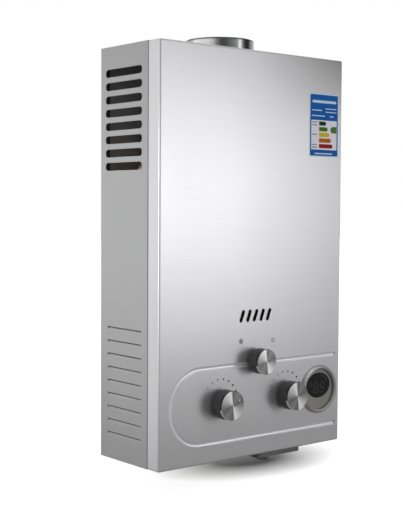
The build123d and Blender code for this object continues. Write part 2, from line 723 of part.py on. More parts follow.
# Burner: an open tray of eight blade burners with slit ports, fed by jets on a manifold across the front
tray_top = SHELL_BOTTOM - 2 * SEAM_GAP
tray_mid_depth = tray_front + tray_depth / 2
with BuildPart() as burner_tray:
    with BuildSketch(rising(0, tray_mid_depth, TRAY_BOTTOM)):
        Rectangle(tray_width, tray_depth)
    extrude(amount=tray_top - TRAY_BOTTOM)
    offset(amount=-SHEET, openings=burner_tray.faces().sort_by(Axis.Z)[-1])
    with BuildSketch(facing(0, tray_front, MANIFOLD_LEVEL)):
        Rectangle(BAR_PITCH * BAR_COUNT, JET_ACROSS_FLATS + 2 * JET_CLEARANCE)
    extrude(amount=-2 * SHEET, mode=Mode.SUBTRACT)
    with BuildSketch(rising(0, tray_mid_depth, TRAY_BOTTOM)):
        Rectangle(BAR_PITCH * BAR_COUNT, tray_depth / 3)
    extrude(amount=2 * SHEET, mode=Mode.SUBTRACT)
keep(burner_tray, "burner_tray")

bar_front = MANIFOLD_DEPTH + MANIFOLD_SIZE / 2 + JET_LENGTH + JET_GAP
bar_back = tray_front + tray_depth - SHEET - SEAM_GAP
bar_foot = TRAY_BOTTOM + SHEET + SEAM_GAP
with BuildPart() as burner_bars:
    with BuildSketch(facing(0, bar_front, bar_foot)):
        with BuildLine():
            half = BAR_WIDTH / 2
            waist = BAR_WIDTH / 5
            right = [
                (half, 0),
                (half, 0.5 * BAR_HEIGHT),
                (waist, 0.6 * BAR_HEIGHT),
                (waist, 0.75 * BAR_HEIGHT),
                (half, 0.85 * BAR_HEIGHT),
                (half, BAR_HEIGHT),
            ]
            Polyline(*right, *[(-x, z) for x, z in reversed(right)], close=True)
        make_face()
    extrude(amount=-(bar_back - bar_front))
    with BuildSketch(rising(0, (bar_front + bar_back) / 2, bar_foot + BAR_HEIGHT)):
        with GridLocations(1, (bar_back - bar_front) / PORT_COUNT, 1, PORT_COUNT):
            Rectangle(BAR_WIDTH - 2 * PORT_WALL, PORT_WIDTH)
    extrude(amount=-PORT_DROP, mode=Mode.SUBTRACT)
    with BuildSketch(facing(0, bar_front, MANIFOLD_LEVEL)):
        Circle(MOUTH_RADIUS)
    extrude(amount=-MOUTH_LENGTH, taper=MOUTH_TAPER, mode=Mode.SUBTRACT)
bar_start = -BAR_PITCH * (BAR_COUNT - 1) / 2
with BuildPart() as burner_bar_set:
    with Locations(*[(bar_start + i * BAR_PITCH, 0, 0) for i in range(BAR_COUNT)]):
        add(burner_bars.part)
keep(burner_bar_set, "burner_bars")

with BuildPart() as gas_manifold:
    manifold_face = MANIFOLD_DEPTH + MANIFOLD_SIZE / 2
    with BuildSketch(facing(0, manifold_face - MANIFOLD_SIZE, MANIFOLD_LEVEL)):
        Rectangle(tray_width, MANIFOLD_SIZE)
    extrude(amount=-MANIFOLD_SIZE)
    with BuildSketch(facing(0, manifold_face, MANIFOLD_LEVEL)):
        with GridLocations(BAR_PITCH, 1, BAR_COUNT, 1):
            RegularPolygon(JET_ACROSS_FLATS / 2, 6, major_radius=False)
    extrude(amount=-JET_LENGTH)
    with BuildSketch(facing(0, manifold_face, MANIFOLD_LEVEL)):
        with GridLocations(tray_width - JET_ACROSS_FLATS / 2, 1, 2, 1):
            Rectangle(JET_ACROSS_FLATS / 2, MANIFOLD_SIZE)
    extrude(amount=-(tray_front - SEAM_GAP - manifold_face))
keep(gas_manifold, "gas_manifold")

# Valve: gas section on the left, water section on the right, joined by tie bars across an open gap
def axle(x):
    """Axis of the valve barrels, from the point at x."""
    return Axis(spot(x, VALVE_DEPTH, VALVE_LEVEL), (1, 0, 0))


rod_hole = ROD_RADIUS + RUNNING_CLEARANCE
spindle_hole = SPINDLE_RADIUS + RUNNING_CLEARANCE
spindle_tip = VALVE_DEPTH - VALVE_BORE_RADIUS - SPINDLE_TIP_GAP
gas_end = GAS_VALVE_RIGHT - GAS_FLANGE_THICKNESS
gas_cavity = GAS_VALVE_LEFT + GAS_END_WALL
pipe_seat_depth = VALVE_BOSS_DEPTH - SEAM_GAP
socket_level = VALVE_LEVEL - VALVE_BARREL_RADIUS - SOCKET_DROP

with BuildPart() as gas_valve_body:
    with BuildSketch(facing(0, VALVE_DEPTH, VALVE_LEVEL)):
        with BuildLine():
            Polyline(
                (GAS_VALVE_LEFT, 0),
                (GAS_VALVE_LEFT, VALVE_BARREL_RADIUS),
                (gas_end, VALVE_BARREL_RADIUS),
                (gas_end, GAS_FLANGE_RADIUS),
                (GAS_VALVE_RIGHT, GAS_FLANGE_RADIUS),
                (GAS_VALVE_RIGHT, 0),
                close=True,
            )
        make_face()
    revolve(axis=axle(0))
    with BuildSketch(facing(0, VALVE_BOSS_DEPTH, VALVE_LEVEL)):
        with Locations((GAS_KNOB_X, 0), (GAS_OUTLET_X, 0)):
            Circle(VALVE_BOSS_RADIUS)
    extrude(amount=-(VALVE_DEPTH - VALVE_BOSS_DEPTH))
    with BuildSketch(rising(GAS_INLET_X, VALVE_DEPTH, socket_level)):
        Circle(THREAD_RADIUS + SOCKET_WALL)
    extrude(amount=VALVE_LEVEL - socket_level)
    with BuildSketch(facing(0, VALVE_DEPTH, VALVE_LEVEL)):
        with BuildLine():
            Polyline(
                (GAS_VALVE_LEFT, 0),
                (GAS_VALVE_LEFT, PLUNGER_RADIUS + RUNNING_CLEARANCE),
                (gas_cavity, PLUNGER_RADIUS + RUNNING_CLEARANCE),
                (gas_cavity, VALVE_BORE_RADIUS),
                (seat_x, VALVE_BORE_RADIUS),
                (seat_x, SPRING_RADIUS),
                (seat_x + SEAT_THICKNESS, SPRING_RADIUS),
                (seat_x + SEAT_THICKNESS, VALVE_BORE_RADIUS),
                (gas_end, VALVE_BORE_RADIUS),
                (gas_end, rod_hole),
                (GAS_VALVE_RIGHT, rod_hole),
                (GAS_VALVE_RIGHT, 0),
                close=True,
            )
        make_face()
    revolve(axis=axle(0), mode=Mode.SUBTRACT)
    with BuildSketch(facing(GAS_KNOB_X, VALVE_BOSS_DEPTH, VALVE_LEVEL)):
        Circle(spindle_hole)
    extrude(amount=-(spindle_tip + SEAM_GAP - VALVE_BOSS_DEPTH), mode=Mode.SUBTRACT)
    with BuildSketch(facing(GAS_OUTLET_X, VALVE_BOSS_DEPTH, VALVE_LEVEL)):
        Circle(pipe_bore)
    extrude(amount=-(VALVE_DEPTH - VALVE_BOSS_DEPTH), mode=Mode.SUBTRACT)
    with BuildSketch(rising(GAS_INLET_X, VALVE_DEPTH, socket_level)):
        Circle(pipe_bore)
    extrude(amount=VALVE_LEVEL - socket_level, mode=Mode.SUBTRACT)
keep(gas_valve_body, "gas_valve_body")

riser_start_level = VALVE_LEVEL + VALVE_BARREL_RADIUS + SOCKET_DROP
diaphragm_right = COVER_RIGHT + DIAPHRAGM_THICKNESS
dish_floor = COVER_RIGHT - DISH_DEPTH
with BuildPart() as water_valve_body:
    with BuildSketch(facing(0, VALVE_DEPTH, VALVE_LEVEL)):
        with BuildLine():
            Polyline(
                (diaphragm_right, 0),
                (diaphragm_right, CHAMBER_RADIUS),
                (diaphragm_right + WATER_FLANGE_THICKNESS, CHAMBER_RADIUS),
                (diaphragm_right + WATER_FLANGE_THICKNESS, VALVE_BARREL_RADIUS),
                (WATER_VALVE_RIGHT, VALVE_BARREL_RADIUS),
                (WATER_VALVE_RIGHT, 0),
                close=True,
            )
        make_face()
    revolve(axis=axle(0))
    with BuildSketch(facing(WATER_KNOB_X, VALVE_BOSS_DEPTH, VALVE_LEVEL)):
        Circle(VALVE_BOSS_RADIUS)
    extrude(amount=-(VALVE_DEPTH - VALVE_BOSS_DEPTH))
    with BuildSketch(rising(RISER_START_X, VALVE_DEPTH, VALVE_LEVEL)):
        Circle(VALVE_BOSS_RADIUS)
    extrude(amount=riser_start_level - VALVE_LEVEL)
    with BuildSketch(rising(WATER_KNOB_X, VALVE_DEPTH, socket_level)):
        Circle(THREAD_RADIUS + SOCKET_WALL)
    extrude(amount=VALVE_LEVEL - socket_level)
    with BuildSketch(facing(0, VALVE_DEPTH, VALVE_LEVEL)):
        with BuildLine():
            Polyline(
                (diaphragm_right, 0),
                (diaphragm_right, DISH_RADIUS),
                (diaphragm_right + WATER_FLANGE_THICKNESS / 2, DISH_RADIUS),
                (diaphragm_right + WATER_FLANGE_THICKNESS / 2, SPRING_RADIUS),
                (RISER_START_X, SPRING_RADIUS),
                (RISER_START_X, 0),
                close=True,
            )
        make_face()
    revolve(axis=axle(0), mode=Mode.SUBTRACT)
    with BuildSketch(facing(WATER_KNOB_X, VALVE_BOSS_DEPTH, VALVE_LEVEL)):
        Circle(spindle_hole)
    extrude(amount=-(spindle_tip + SEAM_GAP - VALVE_BOSS_DEPTH), mode=Mode.SUBTRACT)
    with BuildSketch(rising(WATER_KNOB_X, VALVE_DEPTH, socket_level)):
        Circle(pipe_bore)
    extrude(amount=VALVE_LEVEL - socket_level, mode=Mode.SUBTRACT)
keep(water_valve_body, "water_valve_body")

cover_flange = COVER_LEFT + COVER_NECK
with BuildPart() as diaphragm_cover:
    with BuildSketch(facing(0, VALVE_DEPTH, VALVE_LEVEL)):
        with BuildLine():
            Polyline(
                (COVER_LEFT, rod_hole),
                (COVER_LEFT, 2 * ROD_COLLAR_RADIUS),
                (cover_flange, 2 * ROD_COLLAR_RADIUS),
                (cover_flange, CHAMBER_RADIUS),
                (COVER_RIGHT, CHAMBER_RADIUS),
                (COVER_RIGHT, DISH_RADIUS),
                (dish_floor, DISH_RADIUS),
                (dish_floor, rod_hole),
                close=True,
            )
        make_face()
    revolve(axis=axle(0))
keep(diaphragm_cover, "diaphragm_cover")

with BuildPart() as diaphragm:
    with BuildSketch(across(COVER_RIGHT, VALVE_DEPTH, VALVE_LEVEL)):
        Circle(CHAMBER_RADIUS)
    extrude(amount=DIAPHRAGM_THICKNESS)
keep(diaphragm, "diaphragm")

plate_right = COVER_RIGHT - SEAM_GAP
disc_right = DISC_LEFT + DISC_THICKNESS
with BuildPart() as push_rod:
    with BuildSketch(facing(0, VALVE_DEPTH, VALVE_LEVEL)):
        with BuildLine():
            Polyline(
                (disc_right, 0),
                (disc_right, ROD_RADIUS),
                (ROD_COLLAR_LEFT, ROD_RADIUS),
                (ROD_COLLAR_LEFT, ROD_COLLAR_RADIUS),
                (ROD_COLLAR_LEFT + ROD_COLLAR_WIDTH, ROD_COLLAR_RADIUS),
                (ROD_COLLAR_LEFT + ROD_COLLAR_WIDTH, ROD_RADIUS),
                (plate_right - PLATE_THICKNESS, ROD_RADIUS),
                (plate_right - PLATE_THICKNESS, PLATE_RADIUS),
                (plate_right, PLATE_RADIUS),
                (plate_right, 0),
                close=True,
            )
        make_face()
    revolve(axis=axle(0))
keep(push_rod, "push_rod")

with BuildPart() as gas_valve_disc:
    with BuildSketch(across(DISC_LEFT, VALVE_DEPTH, VALVE_LEVEL)):
        Circle(DISC_RADIUS)
    extrude(amount=DISC_THICKNESS)
    chamfer(gas_valve_disc.edges().sort_by(Axis.X)[0], DISC_THICKNESS / 3)
keep(gas_valve_disc, "gas_valve_disc")

spring_start = gas_cavity + SPRING_WIRE / 2 + SEAM_GAP
spring_height = DISC_LEFT - SPRING_WIRE / 2 - SEAM_GAP - spring_start
with BuildPart() as valve_spring:
    with BuildLine() as spring_line:
        Helix(
            pitch=spring_height / SPRING_TURNS,
            height=spring_height,
            radius=SPRING_RADIUS,
            center=spot(spring_start, VALVE_DEPTH, VALVE_LEVEL),
            direction=(1, 0, 0),
        )
    with BuildSketch(Plane(origin=spring_line.line @ 0, z_dir=spring_line.line % 0)):
        Rectangle(SPRING_WIRE, SPRING_WIRE)
    sweep(path=spring_line.line, is_frenet=True)
keep(valve_spring, "valve_spring")

with BuildPart() as tie_bars:
    with BuildSketch(across(GAS_VALVE_RIGHT + SEAM_GAP, VALVE_DEPTH, VALVE_LEVEL)):
        with PolarLocations(TIE_CIRCLE_RADIUS, TIE_COUNT, start_angle=30):
            RegularPolygon(ROD_RADIUS, 6, major_radius=False)
    extrude(amount=cover_flange - GAS_VALVE_RIGHT - 2 * SEAM_GAP)
keep(tie_bars, "tie_bars")

# Solenoid on the left end of the gas section
coil_left = GAS_VALVE_LEFT - SEAM_GAP - SOLENOID_LENGTH
with BuildPart() as solenoid_coil:
    with BuildSketch(facing(0, VALVE_DEPTH, VALVE_LEVEL)):
        with BuildLine():
            Polyline(
                (coil_left, 0),
                (coil_left, SOLENOID_RADIUS),
                (GAS_VALVE_LEFT - SEAM_GAP, SOLENOID_RADIUS),
                (GAS_VALVE_LEFT - SEAM_GAP, PLUNGER_RADIUS + RUNNING_CLEARANCE),
                (coil_left + SOLENOID_END_WALL, PLUNGER_RADIUS + RUNNING_CLEARANCE),
                (coil_left + SOLENOID_END_WALL, 0),
                close=True,
            )
        make_face()
    revolve(axis=axle(0))
keep(solenoid_coil, "solenoid_coil")

plunger_left = coil_left + SOLENOID_END_WALL + PLUNGER_STROKE + FITTING_CLEARANCE
with BuildPart() as solenoid_plunger:
    with BuildSketch(across(plunger_left, VALVE_DEPTH, VALVE_LEVEL)):
        Circle(PLUNGER_RADIUS)
    extrude(amount=gas_cavity - PLUNGER_END_GAP - plunger_left)
keep(solenoid_plunger, "solenoid_plunger")

# Micro-switch on the gas flange, with its lever against the rod's collar
switch_foot = VALVE_LEVEL + GAS_FLANGE_RADIUS + SEAM_GAP
switch_right = COVER_LEFT + SWITCH_OVERHANG
lever_x = ROD_COLLAR_LEFT + ROD_COLLAR_WIDTH + FITTING_CLEARANCE
lever_top = switch_foot - SEAM_GAP
lever_foot = VALVE_LEVEL + ROD_RADIUS + LEVER_CLEARANCE
with BuildPart() as micro_switch:
    with BuildSketch(rising(switch_right - SWITCH_LENGTH / 2, VALVE_DEPTH, switch_foot)):
        Rectangle(SWITCH_LENGTH, SWITCH_WIDTH)
    extrude(amount=SWITCH_HEIGHT)
    chamfer(micro_switch.edges().filter_by(Axis.Y).sort_by(Axis.Z)[-2:], SWITCH_CORNER)
keep(micro_switch, "micro_switch")

with BuildPart() as switch_lever:
    with BuildSketch(facing(0, VALVE_DEPTH - SWITCH_WIDTH / 2 + LEVER_INSET, 0)):
        with BuildLine():
            Polyline(
                (lever_x, lever_foot),
                (lever_x, lever_top),
                (lever_x + LEVER_SHEET, lever_top),
                (lever_x + LEVER_SHEET, lever_foot),
                close=True,
            )
        make_face()
    extrude(amount=2 * LEVER_INSET - SWITCH_WIDTH)
keep(switch_lever, "switch_lever")

# Season cock under the manifold
with BuildPart() as season_cock:
    with BuildSketch(facing(SEASON_KNOB_X, SEASON_COCK_FRONT, SEASON_KNOB_LEVEL)):
        Circle(SEASON_COCK_RADIUS)
    extrude(amount=-(SEASON_COCK_BACK - SEASON_COCK_FRONT))
    with BuildSketch(facing(SEASON_KNOB_X, SEASON_COCK_FRONT, SEASON_KNOB_LEVEL)):
        Circle(VALVE_BOSS_RADIUS)
    extrude(amount=SEASON_BOSS)
    with BuildSketch(rising(SEASON_KNOB_X, MANIFOLD_DEPTH, SEASON_KNOB_LEVEL)):
        Rectangle(MANIFOLD_SIZE, SEASON_NECK_DEPTH)
    extrude(amount=MANIFOLD_LEVEL - MANIFOLD_SIZE / 2 - SEAM_GAP - SEASON_KNOB_LEVEL)
    with BuildSketch(rising(SEASON_KNOB_X, MANIFOLD_DEPTH, cock_inlet_level)):
        Circle(SEASON_INLET_RADIUS)
    extrude(amount=SEASON_KNOB_LEVEL - cock_inlet_level)
    with BuildSketch(facing(SEASON_KNOB_X, SEASON_COCK_FRONT - SEASON_BOSS, SEASON_KNOB_LEVEL)):
        Circle(spindle_hole)
    extrude(amount=-(season_tip + SEAM_GAP - SEASON_COCK_FRONT + SEASON_BOSS), mode=Mode.SUBTRACT)
    with BuildSketch(rising(SEASON_KNOB_X, MANIFOLD_DEPTH, cock_inlet_level)):
        Circle(pipe_bore)
    extrude(amount=SEASON_COCK_RADIUS / 2, mode=Mode.SUBTRACT)
keep(season_cock, "season_cock")


# Controls: each is a brass spindle with a flat, a dark moulded body and a spun metal cap
def control(name, x, level, radius, tip_depth, pointer_angle, pointer_place):
    """Write one knob body, its cap and its spindle.

    The pointer's angle runs counter-clockwise, seen from the front.
    """
    cap_back = KNOB_REACH - KNOB_CAP_THICKNESS
    spindle_end = cap_back - SPINDLE_HEAD_WALL
    bore = SPINDLE_RADIUS + RUNNING_CLEARANCE
    turning = Axis(spot(x, 0, level), (0, -1, 0))
    with BuildPart() as body:
        with BuildSketch(outward(x, level)):
            with BuildLine():
                Polyline(
                    (0, cap_back),
                    (radius - KNOB_CAP_CHAMFER, cap_back),
                    (radius, cap_back - KNOB_CAP_CHAMFER),
                    (radius + KNOB_BODY_FLARE, KNOB_GAP + KNOB_FOOT_HEIGHT),
                    (radius - KNOB_FOOT_INSET, KNOB_GAP + KNOB_FOOT_HEIGHT - KNOB_FOOT_SLOPE),
                    (radius - KNOB_FOOT_INSET, KNOB_GAP),
                    (0, KNOB_GAP),
                    close=True,
                )
            make_face()
        revolve(axis=turning)
        with BuildSketch(facing(x, -KNOB_GAP, level)):
            Circle(bore)
            with Locations((0, -SPINDLE_FLAT - bore)):
                Rectangle(2 * bore, 2 * bore, mode=Mode.SUBTRACT)
        extrude(amount=spindle_end + SEAM_GAP - KNOB_GAP, mode=Mode.SUBTRACT)
    keep(body, name + "_knob")

    with BuildPart() as cap:
        with BuildSketch(outward(x, level)):
            with BuildLine():
                Polyline(
                    (0, cap_back),
                    (radius - KNOB_CAP_CHAMFER, cap_back),
                    (radius, cap_back + KNOB_CAP_CHAMFER),
                    (radius, KNOB_REACH - KNOB_CAP_CHAMFER),
                    (radius - KNOB_CAP_CHAMFER, KNOB_REACH),
                    (0, KNOB_REACH),
                    close=True,
                )
            make_face()
        revolve(axis=turning)
        dimple_x = pointer_place * cos(radians(pointer_angle))
        dimple_z = pointer_place * sin(radians(pointer_angle))
        with BuildSketch(facing(x, -KNOB_REACH, level)):
            with Locations((dimple_x, dimple_z)):
                Circle(POINTER_RADIUS)
        extrude(amount=-POINTER_DEPTH, mode=Mode.SUBTRACT)
    keep(cap, name + "_knob_cap")

    with BuildPart() as spindle:
        with BuildSketch(facing(x, tip_depth, level)):
            Circle(SPINDLE_RADIUS)
        extrude(amount=tip_depth + spindle_end)
        with BuildSketch(facing(x, -spindle_end, level)):
            with Locations((0, RUNNING_CLEARANCE - SPINDLE_FLAT - SPINDLE_RADIUS)):
                Rectangle(2 * SPINDLE_RADIUS, 2 * SPINDLE_RADIUS)
        extrude(amount=KNOB_GAP - spindle_end - SPINDLE_FLAT_RUNOUT, mode=Mode.SUBTRACT)
    keep(spindle, name + "_spindle")


control("gas", GAS_KNOB_X, KNOB_LEVEL, FLOW_KNOB_RADIUS, spindle_tip, GAS_POINTER_ANGLE, GAS_POINTER_PLACE)
control("water", WATER_KNOB_X, KNOB_LEVEL, FLOW_KNOB_RADIUS, spindle_tip, WATER_POINTER_ANGLE, WATER_POINTER_PLACE)
control(
    "season",
    SEASON_KNOB_X,
    SEASON_KNOB_LEVEL,
    SEASON_KNOB_RADIUS,
    season_tip,
    SEASON_POINTER_ANGLE,
    SEASON_POINTER_PLACE,
)

# Display: rim on the front, plate and window inside it, housing through the cover
rim_bore = DISPLAY_PLATE_RADIUS + SEAM_GAP
display_axis = Axis(spot(DISPLAY_X, 0, DISPLAY_LEVEL), (0, -1, 0))
with BuildPart() as display_bezel:
    with BuildSketch(outward(DISPLAY_X, DISPLAY_LEVEL)):
        with BuildLine():
            Polyline(
                (rim_bore, SEAM_GAP),
                (DISPLAY_RADIUS, SEAM_GAP),
                (DISPLAY_RADIUS, 0.3 * DISPLAY_RIM),
                (DISPLAY_RADIUS - 0.3 * DISPLAY_RIM, 0.85 * DISPLAY_RIM),
                (DISPLAY_RADIUS - 0.7 * DISPLAY_RIM, DISPLAY_RIM),
                (rim_bore + 0.1 * DISPLAY_RIM, 0.75 * DISPLAY_RIM),
                (rim_bore, 0.35 * DISPLAY_RIM),
                close=True,
            )
        make_face()
    revolve(axis=display_axis)
keep(display_bezel, "display_bezel")

with BuildPart() as display_plate:
    with BuildSketch(facing(DISPLAY_X, 0, DISPLAY_LEVEL)):
        Circle(DISPLAY_PLATE_RADIUS)
        with Locations((0, WINDOW_RAISE)):
            Ellipse(WINDOW_HALF_WIDTH + SEAM_GAP, WINDOW_HALF_HEIGHT + SEAM_GAP, mode=Mode.SUBTRACT)
    extrude(amount=-WINDOW_THICKNESS)
keep(display_plate, "display_plate")

with BuildPart() as display_window:
    with BuildSketch(facing(DISPLAY_X, -FITTING_CLEARANCE, DISPLAY_LEVEL + WINDOW_RAISE)):
        Ellipse(WINDOW_HALF_WIDTH, WINDOW_HALF_HEIGHT)
    extrude(amount=-WINDOW_THICKNESS - FITTING_CLEARANCE)
keep(display_window, "display_window")

with BuildPart() as display_housing:
    with BuildSketch(facing(DISPLAY_X, WINDOW_THICKNESS + SEAM_GAP, DISPLAY_LEVEL)):
        Circle(DISPLAY_HOUSING_RADIUS)
    extrude(amount=-DISPLAY_HOUSING_DEPTH)
    offset(amount=-DISPLAY_WALL, openings=display_housing.faces().sort_by(Axis.Y)[-1])
keep(display_housing, "display_housing")

# Threaded nipples under the case: a barrel with a hexagon collar against the bottom panel
nipple_tops = {
    "hot_outlet_nipple": (HOT_X, HOT_NIPPLE_TOP),
    "gas_inlet_nipple": (GAS_INLET_X, socket_level - SEAM_GAP),
    "cold_inlet_nipple": (WATER_KNOB_X, socket_level - SEAM_GAP),
}
for label, (x, top) in nipple_tops.items():
    with BuildPart() as nipple:
        with BuildSketch(facing(x, VALVE_DEPTH, 0)):
            with BuildLine():
                Polyline(
                    (THREAD_BORE, -NIPPLE_DROP),
                    (THREAD_RADIUS - THREAD_CHAMFER, -NIPPLE_DROP),
                    (THREAD_RADIUS, THREAD_CHAMFER - NIPPLE_DROP),
                    (THREAD_RADIUS, top),
                    (pipe_bore, top),
                    (pipe_bore, top - NIPPLE_SEAT),
                    (THREAD_BORE, top - NIPPLE_SEAT - NIPPLE_TAPER),
                    close=True,
                )
            make_face()
        revolve(axis=Axis(spot(x, VALVE_DEPTH, 0), (0, 0, 1)))
        with BuildSketch(rising(x, VALVE_DEPTH, -SEAM_GAP)):
            RegularPolygon(HEX_ACROSS_FLATS / 2, 6, major_radius=False)
            Circle(THREAD_RADIUS - THREAD_CHAMFER, mode=Mode.SUBTRACT)
        extrude(amount=-HEX_THICKNESS)
    keep(nipple, label)


# Copper pipes
def bent_pipe(label, *places):
    """Hollow pipe through the places, each given as x, depth and level, with equal bends."""
    points = [spot(*place) for place in places]
    with BuildPart() as pipe:
        with BuildLine() as run:
            FilletPolyline(*points, radius=PIPE_BEND)
        with BuildSketch(Plane(origin=run.line @ 0, z_dir=run.line % 0)):
            Circle(PIPE_RADIUS)
            Circle(pipe_bore, mode=Mode.SUBTRACT)
        sweep(path=run.line)
    keep(pipe, label)


first_tube = shell_mid_depth - 1.5 * fin_tube_pitch
last_tube = shell_mid_depth + 1.5 * fin_tube_pitch
coil_front = SHELL_FRONT - PIPE_RADIUS - COIL_GAP
coil_left_x = -SHELL_WIDTH / 2 - PIPE_RADIUS - COIL_SIDE_GAP
run_level = riser_start_level + RISER_RUN_RISE
bent_pipe(
    "cold_riser",
    (RISER_START_X, VALVE_DEPTH, riser_start_level + SEAM_GAP),
    (RISER_START_X, VALVE_DEPTH, run_level),
    (RISER_X, VALVE_DEPTH, run_level),
    (RISER_X, VALVE_DEPTH, COIL_LEVEL),
    (RISER_X, coil_front, COIL_LEVEL),
    (coil_left_x, coil_front, COIL_LEVEL),
    (coil_left_x, last_tube, COIL_LEVEL),
    (coil_left_x, last_tube, FIN_TUBE_LEVEL),
    (-header_face, last_tube, FIN_TUBE_LEVEL),
)
bent_pipe(
    "hot_pipe",
    (-header_face, first_tube, FIN_TUBE_LEVEL),
    (HOT_PIPE_X, first_tube, FIN_TUBE_LEVEL),
    (HOT_PIPE_X, first_tube, HOT_PIPE_LEVEL),
    (HOT_X, first_tube, HOT_PIPE_LEVEL),
    (HOT_X, VALVE_DEPTH, HOT_PIPE_LEVEL),
    (HOT_X, VALVE_DEPTH, HOT_NIPPLE_TOP + SEAM_GAP),
)
bent_pipe(
    "gas_pipe",
    (GAS_OUTLET_X, pipe_seat_depth, VALVE_LEVEL),
    (GAS_OUTLET_X, pipe_seat_depth - GAS_PIPE_RUN, VALVE_LEVEL),
    (SEASON_KNOB_X, MANIFOLD_DEPTH, VALVE_LEVEL),
    (SEASON_KNOB_X, MANIFOLD_DEPTH, cock_inlet_level - SEAM_GAP),
)

# Relief and drain valve at the right end of the water section
with BuildPart() as drain_valve:
    with BuildSketch(across(WATER_VALVE_RIGHT + SEAM_GAP, VALVE_DEPTH, VALVE_LEVEL)):
        Circle(VALVE_BOSS_RADIUS)
    extrude(amount=DRAIN_X - WATER_VALVE_RIGHT)
    with BuildSketch(rising(DRAIN_X, VALVE_DEPTH, drain_face_level)):
        Circle(DRAIN_RADIUS)
    extrude(amount=VALVE_LEVEL + VALVE_BOSS_RADIUS - drain_face_level)
    with BuildSketch(rising(DRAIN_X, VALVE_DEPTH, drain_face_level)):
        Circle(spindle_hole)
    extrude(amount=SPINDLE_INSERTION, mode=Mode.SUBTRACT)
keep(drain_valve, "drain_valve")

with BuildPart() as drain_knob:
    with BuildSketch(rising(DRAIN_X, VALVE_DEPTH, drain_face_level - FITTING_CLEARANCE)):
        Circle(DRAIN_KNOB_RADIUS)
        with PolarLocations(DRAIN_KNOB_RADIUS + SCALLOP_REACH, SCALLOP_COUNT):
            Circle(SCALLOP_RADIUS, mode=Mode.SUBTRACT)
    extrude(amount=-DRAIN_KNOB_HEIGHT)
    with BuildSketch(rising(DRAIN_X, VALVE_DEPTH, drain_face_level - FITTING_CLEARANCE)):
        Circle(SPINDLE_RADIUS)
    extrude(amount=SPINDLE_INSERTION - FITTING_CLEARANCE)
keep(drain_knob, "drain_knob")

# Ignition: box on the right wall, spark electrode and flame sensor in the tray's front corners
igniter_x = inner_face - IGNITER_WIDTH / 2
with BuildPart() as igniter_box:
    with BuildSketch(rising(igniter_x, IGNITER_MID_DEPTH, IGNITER_FOOT)):
        RectangleRounded(IGNITER_WIDTH, IGNITER_DEPTH, IGNITER_CORNER)
    extrude(amount=IGNITER_HEIGHT)
    with BuildSketch(rising(igniter_x, IGNITER_MID_DEPTH, IGNITER_FOOT + IGNITER_HEIGHT)):
        RectangleRounded(IGNITER_WIDTH - 2 * IGNITER_STEP, IGNITER_DEPTH - 2 * IGNITER_STEP, IGNITER_CORNER)
    extrude(amount=IGNITER_STEP)
keep(igniter_box, "igniter_box")

with BuildPart() as electrodes:
    with BuildSketch(facing(0, SHELL_FRONT - CERAMIC_REACH, ignition_level)):
        with Locations(*[(x, 0) for x in electrode_places]):
            Circle(CERAMIC_RADIUS)
    extrude(amount=-CERAMIC_LENGTH)
    with BuildSketch(facing(0, SHELL_FRONT - CERAMIC_REACH - SPARK_ROD_INSET, ignition_level)):
        with Locations(*[(x, 0) for x in electrode_places]):
            RegularPolygon(SPARK_ROD_RADIUS, 6)
    extrude(amount=-SPARK_ROD_LENGTH)
keep(electrodes, "electrodes")

with BuildPart() as overheat_cutout:
    with BuildSketch(across(header_face, shell_mid_depth, OVERHEAT_LEVEL)):
        Circle(OVERHEAT_RADIUS)
    extrude(amount=OVERHEAT_FLANGE)
    with BuildSketch(across(header_face + OVERHEAT_FLANGE, shell_mid_depth, OVERHEAT_LEVEL)):
        Circle(OVERHEAT_CAP_RADIUS)
    extrude(amount=OVERHEAT_CAP_HEIGHT)
keep(overheat_cutout, "overheat_cutout")

# Battery box through the bottom panel, with a door hinged on a pin along its rear edge
with BuildPart() as battery_box:
    with BuildSketch(rising(battery_mid_x, battery_mid_depth, BATTERY_BOTTOM)):
        RectangleRounded(battery_width, battery_depth, BATTERY_CORNER)
    extrude(amount=battery_top - BATTERY_BOTTOM)
    offset(amount=-BATTERY_WALL, openings=battery_box.faces().sort_by(Axis.Z)[0])
    with BuildSketch(*[across(x, door_pin_depth, door_pin_level) for x in lug_places]):
        Circle(DOOR_KNUCKLE_RADIUS)
        with Locations((-DOOR_KNUCKLE_RADIUS / 2, DOOR_KNUCKLE_RADIUS)):
            Rectangle(DOOR_KNUCKLE_RADIUS, 2 * DOOR_KNUCKLE_RADIUS)
    extrude(amount=LUG_WIDTH)
    with BuildSketch(across(battery_mid_x, door_pin_depth, door_pin_level)):
        Circle(DOOR_PIN_RADIUS + SEAM_GAP / 2)
    extrude(amount=battery_width, both=True, mode=Mode.SUBTRACT)
keep(battery_box, "battery_box")

with BuildPart() as battery_door:
    with BuildSketch(rising(battery_mid_x, battery_mid_depth, BATTERY_BOTTOM - DOOR_GAP)):
        RectangleRounded(battery_width, battery_depth, BATTERY_CORNER)
    extrude(amount=-DOOR_THICKNESS)
    with BuildSketch(across(battery_mid_x, door_pin_depth, door_pin_level)):
        Circle(DOOR_KNUCKLE_RADIUS)
        with Locations((-DOOR_KNUCKLE_RADIUS, 0)):
            Rectangle(2 * DOOR_KNUCKLE_RADIUS, DOOR_THICKNESS * 0.9)
        Circle(DOOR_PIN_RADIUS + SEAM_GAP / 2, mode=Mode.SUBTRACT)
    extrude(amount=KNUCKLE_HALF, both=True)
keep(battery_door, "battery_door")

with BuildPart() as door_pin:
    with BuildSketch(across(battery_mid_x, door_pin_depth, door_pin_level)):
        Circle(DOOR_PIN_RADIUS)
    extrude(amount=KNUCKLE_HALF + 0.8 * LUG_WIDTH, both=True)
keep(door_pin, "door_pin")

